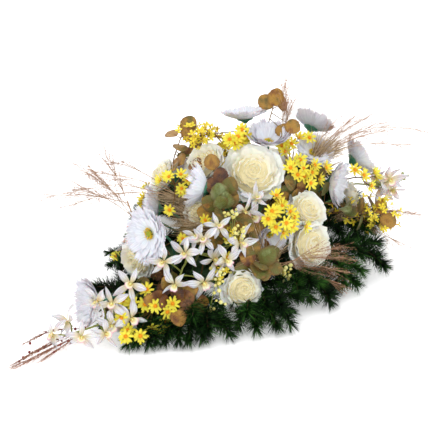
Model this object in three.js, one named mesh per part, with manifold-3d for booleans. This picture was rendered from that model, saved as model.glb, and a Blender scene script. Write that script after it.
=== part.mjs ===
// A teardrop funeral wreath of silk flowers, lying on a table, in millimetres.
// A foam block in the middle holds everything: forked pine branches stick out of its sides all round,
// and roses, gerberas, orchid sprays, yellow daisies, small-flowered twigs, round leaves and dried
// grass stand in it on stems and make a dome that runs down to a point at the tail.
// +X runs from the tail to the head, +Z is up, and the origin is on the flat underside of the foam.
import * as THREE from "three";
import { mergeVertices } from "three/addons/utils/BufferGeometryUtils.js";
import Module from "manifold-3d";

const wasm = await Module();
wasm.setup();

// Driving dimensions
const CLEARANCE = 0.4; // gap between a piece and its neighbour, and round a stem in the foam
const BLADE = 1.6; // thickness of a petal or leaf along its middle
const STEM = 2.4; // radius of a wired flower stem
const TWIG = 1.8; // radius of a thin side stem
const STEM_DEPTH = 24; // how far a stem stands in the foam
const FLOOR = 1.2; // lowest point of any leaf, petal or needle above the table
const SUNK = 4; // how far before the end of a twig its last leaf or flower joins it
const CORNER = 1.7; // how far a three-sided stem's corners move out when its sides move out by 1
const STEM_STEPS = 3; // straight runs in the curve of a bloom's stem
const SPRAY_STEPS = 5; // straight runs in the curve of a spray's stem
// A stem goes into the foam nearer to the foam's middle than its bloom is: by these shares of its distances.
const ROOTS = { along: 0.68, forward: 12, across: 0.48, tailEnd: 62, headEnd: 44, edge: 16 };

const FOAM = { tail: -236, head: 228, belly: 95, halfWidth: 92, height: 52, chamfer: 8 };
const PINE = { core: 3.8, needle: 28, sweep: 44, pitch: 18 };

const vec = (x, y, z) => new THREE.Vector3(x, y, z);
const radians = (degrees) => (degrees * Math.PI) / 180;

// The unit vector at a compass angle from +X towards +Y, and an angle above the table, in degrees.
function direction(compass, rise) {
  const [a, e] = [radians(compass), radians(rise)];
  return vec(Math.cos(a) * Math.cos(e), Math.sin(a) * Math.cos(e), Math.sin(e));
}

// A repeatable row of random numbers from 0 to 1.
function seeded(seed) {
  let state = seed;
  return () => {
    state = (state * 48271) % 2147483647;
    return state / 2147483647;
  };
}

// Closed skins, made point by point where no geometry class has the shape
class Skin {
  points = [];
  faces = [];
  point(p) {
    return this.points.push(p) - 1;
  }
  face(a, b, c) {
    this.faces.push(a, b, c);
  }
  // The two triangles of a four-sided patch, split from its first corner to its third.
  patch(a, b, c, d) {
    this.face(a, b, c);
    this.face(a, c, d);
  }
  // A triangle that faces the front of a flower, or with side -1 its back.
  facet(side, a, b, c) {
    if (side > 0) this.face(a, b, c);
    else this.face(a, c, b);
  }
  fan(centre, rim, side) {
    rim.forEach((p, i) => this.facet(side, centre, p, rim[(i + 1) % rim.length]));
  }
  band(low, high) {
    low.forEach((p, i) => {
      const j = (i + 1) % low.length;
      this.patch(p, low[j], high[j], high[i]);
    });
  }
  ring(count, radius, z, phase = 0) {
    return Array.from({ length: count }, (_, i) => {
      const angle = phase + (i * 2 * Math.PI) / count;
      return this.point(vec(radius * Math.cos(angle), radius * Math.sin(angle), z));
    });
  }
  // Joins a ring of many points to a smaller one in line with it.
  gather(few, many, side) {
    const near = (k) => few[Math.floor(((k % many.length) * few.length) / many.length)];
    many.forEach((p, k) => {
      const q = many[(k + 1) % many.length];
      this.facet(side, near(k), p, q);
      if (near(k) !== near(k + 1)) this.facet(side, near(k), q, near(k + 1));
    });
  }
  // Petal outlines are joined to the middle in one of three ways: to a small ring or a single point, to a
  // ring in line with the notches, or to a ring in line with the petals.
  petalsFromRing(few, outlines, side) {
    this.gather(few, outlines.flatMap((outline) => outline.slice(0, -1)), side);
  }
  petalsFromNotches(hub, outlines, side) {
    outlines.forEach((outline, i) => {
      const next = hub[(i + 1) % hub.length];
      const tip = Math.floor(outline.length / 2);
      outline.slice(1).forEach((p, k) => this.facet(side, k < tip ? hub[i] : next, outline[k], p));
      this.facet(side, hub[i], outline[tip], next);
    });
  }
  petalsFromMiddles(hub, outlines, side) {
    outlines.forEach((outline, i) => {
      const middle = hub[(i + 1) % hub.length];
      const next = hub[(i + 2) % hub.length];
      outline.slice(1).forEach((p, k) => this.facet(side, middle, outline[k], p));
      this.facet(side, middle, outline[outline.length - 1], next);
    });
  }
  geometry() {
    return new THREE.BufferGeometry().setFromPoints(this.points).setIndex(this.faces);
  }
}

// A geometry as a solid, with the triangles that collapsed in merging left out.
function solidOf(geometry) {
  const bare = geometry.clone();
  bare.deleteAttribute("normal");
  bare.deleteAttribute("uv");
  const merged = mergeVertices(bare, 1e-4);
  const corners = merged.index.array;
  const kept = [];
  for (let i = 0; i < corners.length; i += 3) {
    const [a, b, c] = corners.slice(i, i + 3);
    if (a !== b && b !== c && c !== a) kept.push(a, b, c);
  }
  return new wasm.Manifold(
    new wasm.Mesh({
      numProp: 3,
      vertProperties: new Float32Array(merged.attributes.position.array),
      triVerts: new Uint32Array(kept),
    }),
  );
}

function geometryOf(solid) {
  const mesh = solid.getMesh();
  const geometry = new THREE.BufferGeometry();
  geometry.setAttribute("position", new THREE.BufferAttribute(mesh.vertProperties, 3));
  geometry.setIndex(new THREE.BufferAttribute(mesh.triVerts, 1));
  return geometry;
}

const fuse = (solids) => wasm.Manifold.union(solids);

// The body of a solid that holds most of it: loose scraps that a cut leaves are dropped.
function mainBody(solid) {
  return solid.decompose().reduce((a, b) => (a.volume() > b.volume() ? a : b));
}

// A matrix that puts a head at a place, with its own +Z along facing and its own +X as high as it can be.
function standing(at, facing, turn = 0) {
  const z = facing.clone().normalize();
  const x = vec(0, 0, 1).addScaledVector(z, -z.z);
  if (x.lengthSq() < 0.01) x.set(1, 0, 0).addScaledVector(z, -z.x);
  x.normalize();
  const basis = new THREE.Matrix4().makeBasis(x, z.clone().cross(x), z);
  return basis.multiply(new THREE.Matrix4().makeRotationZ(radians(turn))).setPosition(at);
}

// Stems
function triangle(radius) {
  const corners = [0, 120, 240].map((angle) => {
    return new THREE.Vector2(radius * Math.cos(radians(angle)), radius * Math.sin(radians(angle)));
  });
  return new THREE.Shape(corners);
}

// A three-sided stem along a smooth line. Its first end is pushed on by the growth, so a hole has a floor.
function stem(points, radius, grow, steps = STEM_STEPS) {
  const line = points.map((p) => p.clone());
  line[0].addScaledVector(line[0].clone().sub(line[1]).normalize(), grow);
  const extrudePath = new THREE.CatmullRomCurve3(line);
  const options = { steps, bevelEnabled: false, extrudePath };
  return solidOf(new THREE.ExtrudeGeometry(triangle(radius + CORNER * grow), options));
}

// Where a stem from a head goes into the foam: nearer the foam's middle line than the head is.
function rootOf(at) {
  const { along, forward, across, tailEnd, headEnd, edge } = ROOTS;
  const x = THREE.MathUtils.clamp(at.x * along + forward, FOAM.tail + tailEnd, FOAM.head - headEnd);
  const room = halfWidthAt(x) - edge;
  const y = THREE.MathUtils.clamp(at.y * across, -room, room);
  return vec(x, y, FOAM.height);
}

// The line of a bloom's stem, from inside the foam up to the back of the head.
function stemLine(back, facing, root) {
  const height = root.distanceTo(back);
  const foot = root.clone().lerp(back, -STEM_DEPTH / height);
  foot.z = Math.max(foot.z, FOAM.height - STEM_DEPTH);
  const [lead, along, ease] = [0.35, 0.6, 0.55];
  const bend = back.clone().addScaledVector(facing, -lead * height);
  bend.lerp(root.clone().lerp(back, along), ease);
  return [foot, root, bend, back];
}

// The small moves of a root that are tried in turn, until the stem passes clear of the earlier pieces.
const SHIFTS = [[0, 0]];
for (const reach of [9, 18, 27]) {
  for (let i = 0; i < 8; i++) {
    const angle = (i * Math.PI) / 4 + reach;
    SHIFTS.push([reach * Math.cos(angle), reach * Math.sin(angle)]);
  }
}

// The first of the candidates that takes no room of the earlier pieces, or else the one that takes least.
const CLEAR = 0.01; // cubic millimetres
function clearest(candidates, solidFor, taken) {
  let best = null;
  for (const candidate of candidates) {
    const amount = taken(solidFor(candidate));
    if (!best || amount < best.amount) best = { candidate, amount };
    if (amount < CLEAR) break;
  }
  return best;
}

function shifted(root, [dx, dy]) {
  const { tailEnd, headEnd, edge } = ROOTS;
  const x = THREE.MathUtils.clamp(root.x + dx, FOAM.tail + 0.8 * tailEnd, FOAM.head - 0.8 * headEnd);
  const room = halfWidthAt(x) - 0.75 * edge;
  return vec(x, THREE.MathUtils.clamp(root.y + dy, -room, room), root.z);
}

// The surface of a cup-shaped flower above its middle, at a distance from its axis.
const cupHeight = (radius, cup, r) => cup * radius * Math.pow(r / radius, 1.3);

// The outlines of a ring of petals: from a notch by one shoulder, the tip and the other shoulder to the
// next notch. Blunt petals have no tip between their shoulders, and pointed ones have no shoulders.
function petalOutlines(skin, form, grow) {
  const { petals, radius, notch, cup, phase = 0 } = form;
  const { shoulder = 0, ragged = 0, at = 0.86, blunt = false } = form;
  const pitch = (2 * Math.PI) / petals;
  const put = (r, angle) => {
    return skin.point(vec(r * Math.cos(angle), r * Math.sin(angle), cupHeight(radius, cup, r)));
  };
  const notches = Array.from({ length: petals }, (_, i) => put(notch * radius + grow, phase + i * pitch));
  return notches.map((first, i) => {
    const reach = radius * (1 - ragged * ((i * 2) % 3)) + grow;
    const middle = phase + (i + 0.5) * pitch;
    const next = notches[(i + 1) % petals];
    if (!shoulder) return [first, put(reach, middle), next];
    const aside = shoulder * pitch + grow / reach;
    if (blunt) return [first, put(reach, middle - aside), put(reach, middle + aside), next];
    const [left, right] = [put(at * reach, middle - aside), put(at * reach, middle + aside)];
    return [first, left, put(reach, middle), right, next];
  });
}

// Gerbera: a calyx, an outer ring of broad petals, an inner ring of pointed ones between them, and the eye.
function gerberaHead(radius, cup, grow) {
  const skin = new Skin();
  const petals = 12;
  const pitch = (2 * Math.PI) / petals;
  const half = BLADE / 2 + grow;
  const ring = (r, z) => skin.ring(petals, r, z);
  const innerCup = cup * 1.7;
  const outerForm = { petals, radius, notch: 0.6, cup, shoulder: 0.24, ragged: 0.04, blunt: true };
  const outer = petalOutlines(skin, outerForm, grow);
  const innerForm = { petals, radius: 0.8 * radius, notch: 0.62, cup: innerCup, ragged: 0.05 };
  const inner = petalOutlines(skin, { ...innerForm, phase: pitch / 2 }, grow);
  const hub = 0.3 * radius;
  const calyx = skin.ring(3, 0.13 * radius + grow, -0.26 * radius - grow, pitch);
  const back = ring(hub, cupHeight(radius, cup, hub) - half);
  const between = ring(hub + 2 * grow, cupHeight(radius, cup, hub) + half);
  const front = ring(hub - 2, cupHeight(0.8 * radius, innerCup, hub) + 2 * half);
  skin.facet(-1, ...calyx);
  skin.gather(calyx, back, -1);
  skin.petalsFromNotches(back, outer, -1);
  skin.petalsFromNotches(between, outer, 1);
  skin.petalsFromMiddles(between, inner, -1);
  skin.petalsFromMiddles(front, inner, 1);
  skin.fan(skin.point(vec(0, 0, 0.12 * radius + grow)), front, 1);
  return solidOf(skin.geometry());
}

// Rose: rings of cupped petals one inside the other, each ring a rim with notches above a groove.
function roseHead(radius, layers, grow) {
  if (grow) {
    const under = [[0, -0.6], [0.36, -0.54], [0.84, -0.32], [1.06, -0.02]];
    const over = [[1.04, 0.1], [0.5, 0.42], [0, 0.46]];
    const profile = [...under, ...over].map(([r, z]) => {
      return new THREE.Vector2(r * radius + (r ? grow : 0), z * radius);
    });
    return solidOf(new THREE.LatheGeometry(profile, 12).rotateX(Math.PI / 2));
  }
  const skin = new Skin();
  const sides = layers > 3 ? 15 : 12;
  const most = sides / 3;
  const row = (r, z, { petals = most, notch = 1, drop = 0, turn = 0 } = {}) =>
    Array.from({ length: sides }, (_, i) => {
      const angle = (i * 2 * Math.PI) / sides;
      const atNotch = (i + turn) % (sides / petals) === 0;
      const lean = 1 + 0.05 * Math.sin(2 * angle + turn);
      const reach = r * radius * (atNotch ? notch : 1) * lean;
      const height = (z - (atNotch ? drop : 0)) * radius;
      return skin.point(vec(reach * Math.cos(angle), reach * Math.sin(angle), height));
    });
  const rows = [row(0.76, -0.3, { notch: 0.9, drop: 0.03 })];
  for (let k = 0; k < layers; k++) {
    const t = k / (layers - 1);
    const rim = 1 - 0.62 * t;
    const inside = k + 1 < layers ? 0.95 - 0.62 * ((k + 1) / (layers - 1)) : 0.16;
    const height = 0.02 + 0.34 * t;
    const petals = k + 1 < layers ? most : 3;
    rows.push(row(rim, height, { petals, notch: 0.82, drop: 0.15, turn: 2 * k }));
    rows.push(row(inside, height - 0.17));
  }
  const calyx = skin.ring(3, 0.2 * radius, -0.56 * radius, (3.5 * Math.PI) / sides);
  skin.facet(-1, ...calyx);
  skin.gather(calyx, rows[0], -1);
  rows.slice(1).forEach((high, i) => skin.band(rows[i], high));
  skin.fan(skin.point(vec(0, 0, 0.36 * radius)), rows[rows.length - 1], 1);
  return solidOf(skin.geometry());
}

// The back of a small flower, with its three-sided stalk, which ends in a point inside the twig.
function backWithStalk(skin, outer, { radius, half, end, phase = 0 }) {
  const collar = skin.ring(3, radius, -half, phase + Math.PI / 3 - Math.PI / (2 * outer.length));
  skin.petalsFromRing(collar, outer, -1);
  skin.fan(skin.point(end), collar, -1);
}

// Orchid: five broad petals, and a lip that stands out below the middle.
function orchidHead(radius, end, grow) {
  const skin = new Skin();
  const [petals, half] = [5, BLADE / 2 + 0.2 + grow];
  const form = { petals, radius, notch: 0.24, cup: 0.24, phase: -Math.PI / petals, shoulder: 0.33, at: 0.68 };
  const outer = petalOutlines(skin, form, grow);
  const hub = skin.ring(petals, 0.16 * radius + grow, half + 0.6, form.phase);
  backWithStalk(skin, outer, { radius: 1.8 + grow, half, end, phase: form.phase });
  skin.petalsFromNotches(hub, outer, 1);
  skin.fan(skin.point(vec(-0.34 * radius - grow, 0, 0.3 * radius + grow)), hub, 1);
  return solidOf(skin.geometry());
}

// Daisy: pointed petals round a raised middle.
function daisyHead(radius, end, grow) {
  const skin = new Skin();
  const outer = petalOutlines(skin, { petals: 6, radius, notch: 0.42, cup: 0.3 }, grow);
  backWithStalk(skin, outer, { radius: 1.5 + grow, half: 0.8 + grow, end });
  skin.petalsFromRing([skin.point(vec(0, 0, 0.26 * radius + grow))], outer, 1);
  return solidOf(skin.geometry());
}

// A small four-petalled trumpet flower, which narrows to its twig.
function trumpetHead(radius, end, grow) {
  const skin = new Skin();
  const outer = petalOutlines(skin, { petals: 4, radius, notch: 0.42, cup: 0.4 }, grow);
  backWithStalk(skin, outer, { radius: 1.5 + grow, half: 1.6 + grow, end });
  skin.petalsFromRing([skin.point(vec(0, 0, 0.8 + grow))], outer, 1);
  return solidOf(skin.geometry());
}

// A bud, drawn out behind to its twig.
function budHead(radius, end, grow) {
  const skin = new Skin();
  const belly = skin.ring(4, radius + grow, 0);
  skin.fan(skin.point(end), belly, -1);
  skin.fan(skin.point(vec(0, 0, radius * 1.2 + grow)), belly, 1);
  return solidOf(skin.geometry());
}

// A leaf on its own stalk, from a point on the twig through the middle of the leaf, thickest along its rib.
function leafBlade(from, middle, facing, { length, width, bend = 0.3, cup = 0.16 }, grow) {
  const along = middle.clone().sub(from);
  const stalk = Math.max(along.length() - length / 2, 2);
  const half = BLADE / 2 + grow;
  const rows = [[stalk, 1.2], [stalk + 0.36 * length, width / 2], [stalk + 0.74 * length, 0.4 * width]];
  const skin = new Skin();
  const on = (s, y, lift) => {
    const past = Math.max(0, s - stalk) / length;
    return vec(s, y, lift - bend * past * past * length * 0.5);
  };
  const made = rows.map(([s, w]) => {
    const side = w + grow;
    const edge = w > 2 ? cup * side : 0;
    return {
      left: skin.point(on(s, side, edge)),
      right: skin.point(on(s, -side, edge)),
      front: skin.point(on(s, 0, half)),
      back: skin.point(on(s, 0, -half)),
    };
  });
  const tip = skin.point(on(stalk + length + grow, 0, 0));
  const root = skin.point(vec(-1, 0, 0));
  const [first, last] = [made[0], made[made.length - 1]];
  skin.fan(root, [first.left, first.back, first.right, first.front], 1);
  for (let i = 0; i + 1 < made.length; i++) {
    const [a, b] = [made[i], made[i + 1]];
    skin.patch(a.left, a.front, b.front, b.left);
    skin.patch(a.right, b.right, b.front, a.front);
    skin.patch(a.left, b.left, b.back, a.back);
    skin.patch(a.right, a.back, b.back, b.right);
  }
  skin.fan(tip, [last.left, last.front, last.right, last.back], 1);
  const x = along.normalize();
  const z = facing.clone().addScaledVector(x, -facing.dot(x)).normalize();
  const place = new THREE.Matrix4().makeBasis(x, z.clone().cross(x), z).setPosition(from);
  return solidOf(skin.geometry().applyMatrix4(place));
}

// A twig with needles drawn out of the triangles of its slim core, swept towards the tip.
// The first part of the twig is a plain bare prism, and where every is 2 each second triangle has a needle.
function needledTwig(form, grow = 0) {
  const { path, core, length, sweep, pitch, bare = 0.2, every = 1, root = 1 } = form;
  const sides = 3;
  const curve = new THREE.CatmullRomCurve3(path);
  const spans = Math.max(2, Math.round(((1 - bare) * curve.getLength()) / pitch));
  const bareSpans = bare > 0.3 ? 3 : 1;
  const stops = Array.from({ length: bareSpans }, (_, i) => (i * bare) / bareSpans);
  for (let i = 0; i <= spans; i++) stops.push(bare + ((1 - bare) * i) / spans);
  const skin = new Skin();
  let normal = null;
  const rings = stops.map((u, i) => {
    const [centre, tangent] = [curve.getPointAt(u), curve.getTangentAt(u)];
    normal = normal ?? vec(-tangent.y, tangent.x, 0.2);
    normal = normal.clone().addScaledVector(tangent, -normal.dot(tangent)).normalize();
    const binormal = tangent.clone().cross(normal);
    const turned = i > bareSpans && (i - bareSpans) % 2 === 1;
    const radius = core * (i ? 1 - 0.5 * u : root) + CORNER * grow;
    const ring = Array.from({ length: sides }, (_, k) => {
      const angle = ((k + (turned ? 0.5 : 0)) * 2 * Math.PI) / sides;
      const spoke = normal.clone().multiplyScalar(Math.cos(angle)).addScaledVector(binormal, Math.sin(angle));
      return skin.point(centre.clone().addScaledVector(spoke, radius));
    });
    return { centre, ring, tangent, turned };
  });
  const needle = (a, b, c, along) => {
    const [p, q, r] = [a, b, c].map((k) => skin.points[k]);
    const middle = p.clone().add(q).add(r).divideScalar(3);
    const out = q.clone().sub(p).cross(r.clone().sub(p));
    out.addScaledVector(along, -out.dot(along)).normalize();
    const lean = out.multiplyScalar(Math.cos(sweep)).addScaledVector(along, Math.sin(sweep));
    const tip = middle.addScaledVector(lean, length + grow);
    tip.z = Math.max(tip.z, FLOOR - grow);
    const apex = skin.point(tip);
    skin.face(a, b, apex);
    skin.face(b, c, apex);
    skin.face(c, a, apex);
  };
  let count = 0;
  const cover = (a, b, c, along, i) => {
    count += 1;
    if (i < bareSpans || count % every) skin.face(a, b, c);
    else needle(a, b, c, along);
  };
  for (let i = 0; i + 1 < rings.length; i++) {
    const [low, high] = [rings[i], rings[i + 1]];
    const opening = high.turned && !low.turned;
    const along = high.centre.clone().sub(low.centre).normalize();
    for (let k = 0; k < sides; k++) {
      const next = (k + 1) % sides;
      const apart = opening ? high.ring[k] : high.ring[next];
      const beyond = opening ? high.ring[(k + sides - 1) % sides] : high.ring[k];
      cover(low.ring[k], low.ring[next], apart, along, i);
      cover(low.ring[k], apart, beyond, along, i);
    }
  }
  const [first, last] = [rings[0], rings[rings.length - 1]];
  skin.fan(skin.point(first.centre.clone().addScaledVector(first.tangent, -grow)), first.ring, -1);
  skin.fan(skin.point(last.centre.clone().addScaledVector(last.tangent, 0.7 * length + grow)), last.ring, 1);
  return solidOf(skin.geometry());
}

const placedHead = (head, at, facing, turn) => head.transform(standing(at, facing, turn).elements);

// A bloom on its stem from the foam to the back of the calyx, and perhaps more blooms on side stems of it.
function blooms(heads) {
  const parts = heads.map(({ at, compass, rise, turn = 0, head, back }) => {
    const [place, facing] = [vec(...at), direction(compass, rise)];
    return { place, facing, turn, head, neck: place.clone().addScaledVector(facing, -back) };
  });
  const [first, ...others] = parts;
  const lineFrom = (shift) => stemLine(first.neck, first.facing, shifted(rootOf(first.neck), shift));
  return (taken) => {
    const route = clearest(SHIFTS, (shift) => stem(lineFrom(shift), STEM, 0), taken);
    const main = lineFrom(route.candidate);
    const sides = others.map(({ neck, facing }) => {
      const from = new THREE.CatmullRomCurve3(main).getSpacedPoints(3)[1];
      const bend = neck.clone().addScaledVector(facing, -0.3 * from.distanceTo(neck));
      return [from, bend.lerp(from.clone().lerp(neck, 0.6), 0.4), neck];
    });
    return (grow) =>
      fuse([
        ...parts.map(({ place, facing, turn, head }) => placedHead(head(grow), place, facing, turn)),
        ...[main, ...sides].map((line) => stem(line, STEM, grow)),
      ]);
  };
}

// The moves that an item of a spray tries in turn where an earlier piece is in its way: out from the heart of
// the wreath, and a little aside. Each is [out, aside, along] in millimetres.
const MOVES = [[0, 0, 0], [6, 0, 0], [12, 0, 0]];
for (const out of [0, 8, 16]) {
  for (let i = 0; i < 6; i++) {
    const angle = (i * Math.PI) / 3;
    MOVES.push([out, 8 * Math.cos(angle), 8 * Math.sin(angle)]);
  }
}
MOVES.push([20, 0, 0], [26, 0, 0], [-8, 0, 0]);

function moved(place, [out, aside, along]) {
  const heart = vec(THREE.MathUtils.clamp(place.x * 0.8, -200, 150), 0, 40);
  const away = place.clone().sub(heart).normalize();
  const across = vec(-away.y, away.x, 0).normalize();
  const third = away.clone().cross(across);
  return place
    .clone()
    .addScaledVector(away, out)
    .addScaledVector(across, aside)
    .addScaledVector(third, along);
}

// Small flowers or leaves along one stem, which may have side stems. Each joins the nearest stem.
function spray({ line, radius = TWIG + 0.4, items, branches = [] }) {
  const points = line.map((p) => vec(...p));
  const lineFrom = (shift) => {
    const mouth = points[1].clone().setZ(FOAM.height);
    const move = shifted(mouth, shift).sub(mouth);
    return points.map((p, i) => p.clone().addScaledVector(move, [1, 1, 0.5][i] ?? 0));
  };
  const rod = (run, grow) => stem(run.line, run.radius, grow, SPRAY_STEPS);
  return (taken) => {
    const route = clearest(SHIFTS, (shift) => rod({ line: lineFrom(shift), radius }, 0), taken);
    const runs = [{ line: lineFrom(route.candidate), radius }];
    branches.forEach((branch) => {
      const [start, ...rest] = branch.map((p) => vec(...p));
      const from = nearest([runs[0].line], start);
      const sideRun = (move) => ({ line: [from, ...rest.map((p) => moved(p, move))], radius: TWIG });
      runs.push(sideRun(clearest(MOVES, (move) => rod(sideRun(move), 0), taken).candidate));
    });
    const lines = runs.map((run) => run.line);
    const placed = items.flatMap((item) => {
      const found = clearest(MOVES, (move) => item(lines, move)(0), taken);
      return found.amount > CLEAR ? [] : [item(lines, found.candidate)];
    });
    return (grow) => fuse([...runs.map((run) => rod(run, grow)), ...placed.map((piece) => piece(grow))]);
  };
}

// The point of a spray's stems that is nearest to a place, not counting what is in the foam.
function nearest(lines, place) {
  let best = null;
  lines.forEach((line, k) => {
    const corners = new THREE.CatmullRomCurve3(line).getSpacedPoints(SPRAY_STEPS);
    const last = corners[SPRAY_STEPS];
    last.addScaledVector(last.clone().sub(corners[SPRAY_STEPS - 1]).normalize(), -SUNK);
    for (let i = 0; i < SPRAY_STEPS; i++) {
      const run = new THREE.Line3(corners[i], corners[i + 1]);
      const p = run.closestPointToPoint(place, true, vec(0, 0, 0));
      const distance = p.distanceTo(place);
      const free = k > 0 || p.z > FOAM.height + 6 || Math.abs(p.y) > halfWidthAt(p.x) + 4;
      if (free && (!best || distance < best.distance)) best = { p, distance };
    }
  });
  return best.p;
}

// An item of a spray is made for the spray's lines and a move outwards, and then for a growth.
const flowerOn = (head, reach, [x, y, z, compass, rise, turn = 0]) => (lines, move) => {
  const facing = direction(compass, rise);
  const place = moved(vec(x, y, z), move);
  const from = nearest(lines, place.clone().addScaledVector(facing, -reach));
  facing.addScaledVector(place.clone().sub(from).normalize(), 0.45).normalize();
  return (grow) => placedHead(head(rootFrom(from, place, facing, turn), grow), place, facing, turn);
};

// Where a flower's stalk ends, in the flower's own frame: a little past the middle of the twig.
function rootFrom(from, place, facing, turn) {
  const end = from.clone().sub(place);
  end.setLength(end.length() + 0.8);
  return end.applyMatrix4(standing(vec(0, 0, 0), facing, turn).invert());
}

const leafOn = (leaf, [x, y, z, compass, rise, size = 1]) => (lines, move) => {
  const facing = direction(compass, rise);
  const place = moved(vec(x, y, z), move);
  const from = nearest(lines, place);
  const form = { ...leaf, length: leaf.length * size, width: leaf.width * size };
  return (grow) => leafBlade(from, place, facing, form, grow);
};

// A trumpet flower or bud whose narrow end starts inside its twig.
const hornOn = (head, place) => (lines, move) => {
  const mouth = moved(place, move);
  const from = nearest(lines, mouth);
  const facing = mouth.clone().sub(from).normalize();
  return (grow) => placedHead(head(rootFrom(from, mouth, facing, 0), grow), mouth, facing, 0);
};

// A wisp of dried grass from the end of the spray's stem.
const wispOn = (form, tip, i) => (lines, move) => {
  const main = lines[0];
  const from = main[main.length - 1].clone();
  from.addScaledVector(from.clone().sub(main[main.length - 2]).normalize(), -SUNK - 9 * i);
  from.copy(nearest(lines, from));
  const end = moved(vec(...tip), move);
  const middle = moved(from.clone().lerp(end, 0.5), move);
  middle.z += 0.06 * from.distanceTo(end);
  const twig = { ...form, length: form.needle, sweep: radians(form.sweep), path: [from, middle, end] };
  return (grow) => needledTwig(twig, grow);
};

// The foam block
function halfWidthAt(x) {
  const { tail, head, belly, halfWidth } = FOAM;
  const towardsTail = (belly - x) / (belly - tail);
  const towardsHead = (x - belly) / (head - belly);
  if (x < belly) return halfWidth * Math.pow(Math.cos((Math.PI / 2) * Math.min(1, towardsTail)), 0.9);
  return halfWidth * Math.sqrt(1 - Math.min(1, towardsHead) ** 2);
}

function foamSlab() {
  const { tail, head, height, chamfer } = FOAM;
  const stations = [0.04, 0.14, 0.28, 0.44, 0.6, 0.74, 0.86, 0.95].map((t) => tail + t * (head - tail));
  const side = stations.map((x) => new THREE.Vector2(x, -halfWidthAt(x)));
  const other = stations.map((x) => new THREE.Vector2(x, halfWidthAt(x))).reverse();
  const outline = [new THREE.Vector2(tail, 0), ...side, new THREE.Vector2(head, 0), ...other];
  const options = { depth: height - chamfer, steps: 1, bevelEnabled: false };
  const block = new THREE.ExtrudeGeometry(new THREE.Shape(outline), options);
  const cap = new THREE.ExtrudeGeometry(new THREE.Shape(outline), { ...options, depth: chamfer });
  const positions = cap.attributes.position;
  for (let i = 0; i < positions.count; i++) {
    if (positions.getZ(i) < chamfer / 2) continue;
    positions.setX(i, FOAM.belly + (positions.getX(i) - FOAM.belly) * 0.96);
    positions.setY(i, positions.getY(i) * 0.92);
  }
  cap.translate(0, 0, height - chamfer);
  return fuse([solidOf(block), solidOf(cap)]);
}

// Pine branches: each has its root in the side of the foam, and two to four tips round the rim.
const PINE_BRANCHES = [
  { root: [-222, -2], tips: [[-318, -46, 24], [-262, -92, 26], [-268, 34, 28]] },
  { root: [-150, -38], tips: [[-222, -130, 28], [-176, -180, 26]] },
  { root: [-66, -70], tips: [[-112, -222, 26], [-60, -240, 26]] },
  { root: [18, -84], tips: [[-4, -240, 26], [40, -252, 22]] },
  { root: [118, -86], tips: [[92, -266, 26], [186, -236, 36]] },
  { root: [208, -36], tips: [[292, -112, 30], [240, -176, 46], [310, -40, 32]] },
  { root: [208, 36], tips: [[306, 34, 30], [278, 108, 30], [232, 160, 32], [284, 20, 96]] },
  { root: [118, 86], tips: [[172, 206, 28], [112, 224, 30], [178, 134, 86]] },
  { root: [20, 84], tips: [[46, 222, 28], [-14, 210, 30], [34, 144, 96]] },
  { root: [-90, 62], tips: [[-40, 172, 30], [-102, 114, 28], [-184, 86, 34], [-112, 74, 70]] },
];

// The first tip is at the end of the branch itself, and the others are on side twigs.
function pineBranch({ root, tips }) {
  const start = vec(root[0], root[1], 33);
  const ends = tips.map((tip) => vec(...tip));
  const foot = start.clone().lerp(ends[0], -0.17).setZ(31);
  const fork = start.clone().lerp(ends[0], 0.34).setZ(44);
  const middle = start.clone().lerp(ends[0], 0.68).setZ(44);
  const main = [foot, start, fork, middle, ends[0]];
  const curve = new THREE.CatmullRomCurve3(main);
  const twig = { ...PINE, length: PINE.needle, sweep: radians(PINE.sweep) };
  const sides = ends.slice(1).map((end, i) => {
    const from = curve.getPointAt(0.36 - 0.07 * i);
    const half = from.clone().lerp(end, 0.5);
    half.z += 0.1 * from.distanceTo(end);
    return { ...twig, bare: 0.3, root: 0.5, path: [from, half, end] };
  });
  return () => (grow) =>
    fuse([{ ...twig, bare: 0.42, path: main }, ...sides].map((form) => needledTwig(form, grow)));
}

// White gerberas, most of them seen from the side, with the petals fanned out from a green calyx
const GERBERAS = {
  gerbera_left_front: [{ at: [-205, -50, 160], compass: 182, rise: 14, width: 104, cup: 0.3 }],
  gerbera_left_back: [{ at: [-120, 20, 150], compass: 138, rise: 6, width: 88, cup: 0.6 }],
  gerbera_centre_side: [{ at: [-78, -58, 202], compass: 122, rise: 10, width: 84, cup: 0.75 }],
  gerbera_top_front: [{ at: [85, -52, 236], compass: 225, rise: 80, width: 86, cup: 0.6 }],
  gerbera_top_back: [{ at: [86, 8, 264], compass: 66, rise: 74, width: 92, cup: 0.4 }],
  gerbera_tail: [{ at: [-312, -30, 64], compass: 164, rise: 10, width: 92, cup: 0.6 }],
  gerbera_head_top: [{ at: [204, -50, 226], compass: 12, rise: 42, width: 86, cup: 0.55 }],
  gerbera_head_right: [{ at: [240, -126, 172], compass: 340, rise: 24, width: 90, cup: 0.5 }],
  gerbera_right_low: [{ at: [160, -138, 160], compass: 292, rise: 0, width: 90, cup: 0.55 }],
  gerbera_right_top: [{ at: [150, -102, 210], compass: 256, rise: 58, width: 80, cup: 0.4 }],
  gerbera_centre_low: [{ at: [-10, -146, 122], compass: 250, rise: -8, width: 72, cup: 0.5 }],
  gerberas_back: [
    { at: [-68, 104, 88], compass: 106, rise: 30, width: 84, cup: 0.4 },
    { at: [24, 138, 114], compass: 88, rise: 28, width: 88, cup: 0.35 },
  ],
};

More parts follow.
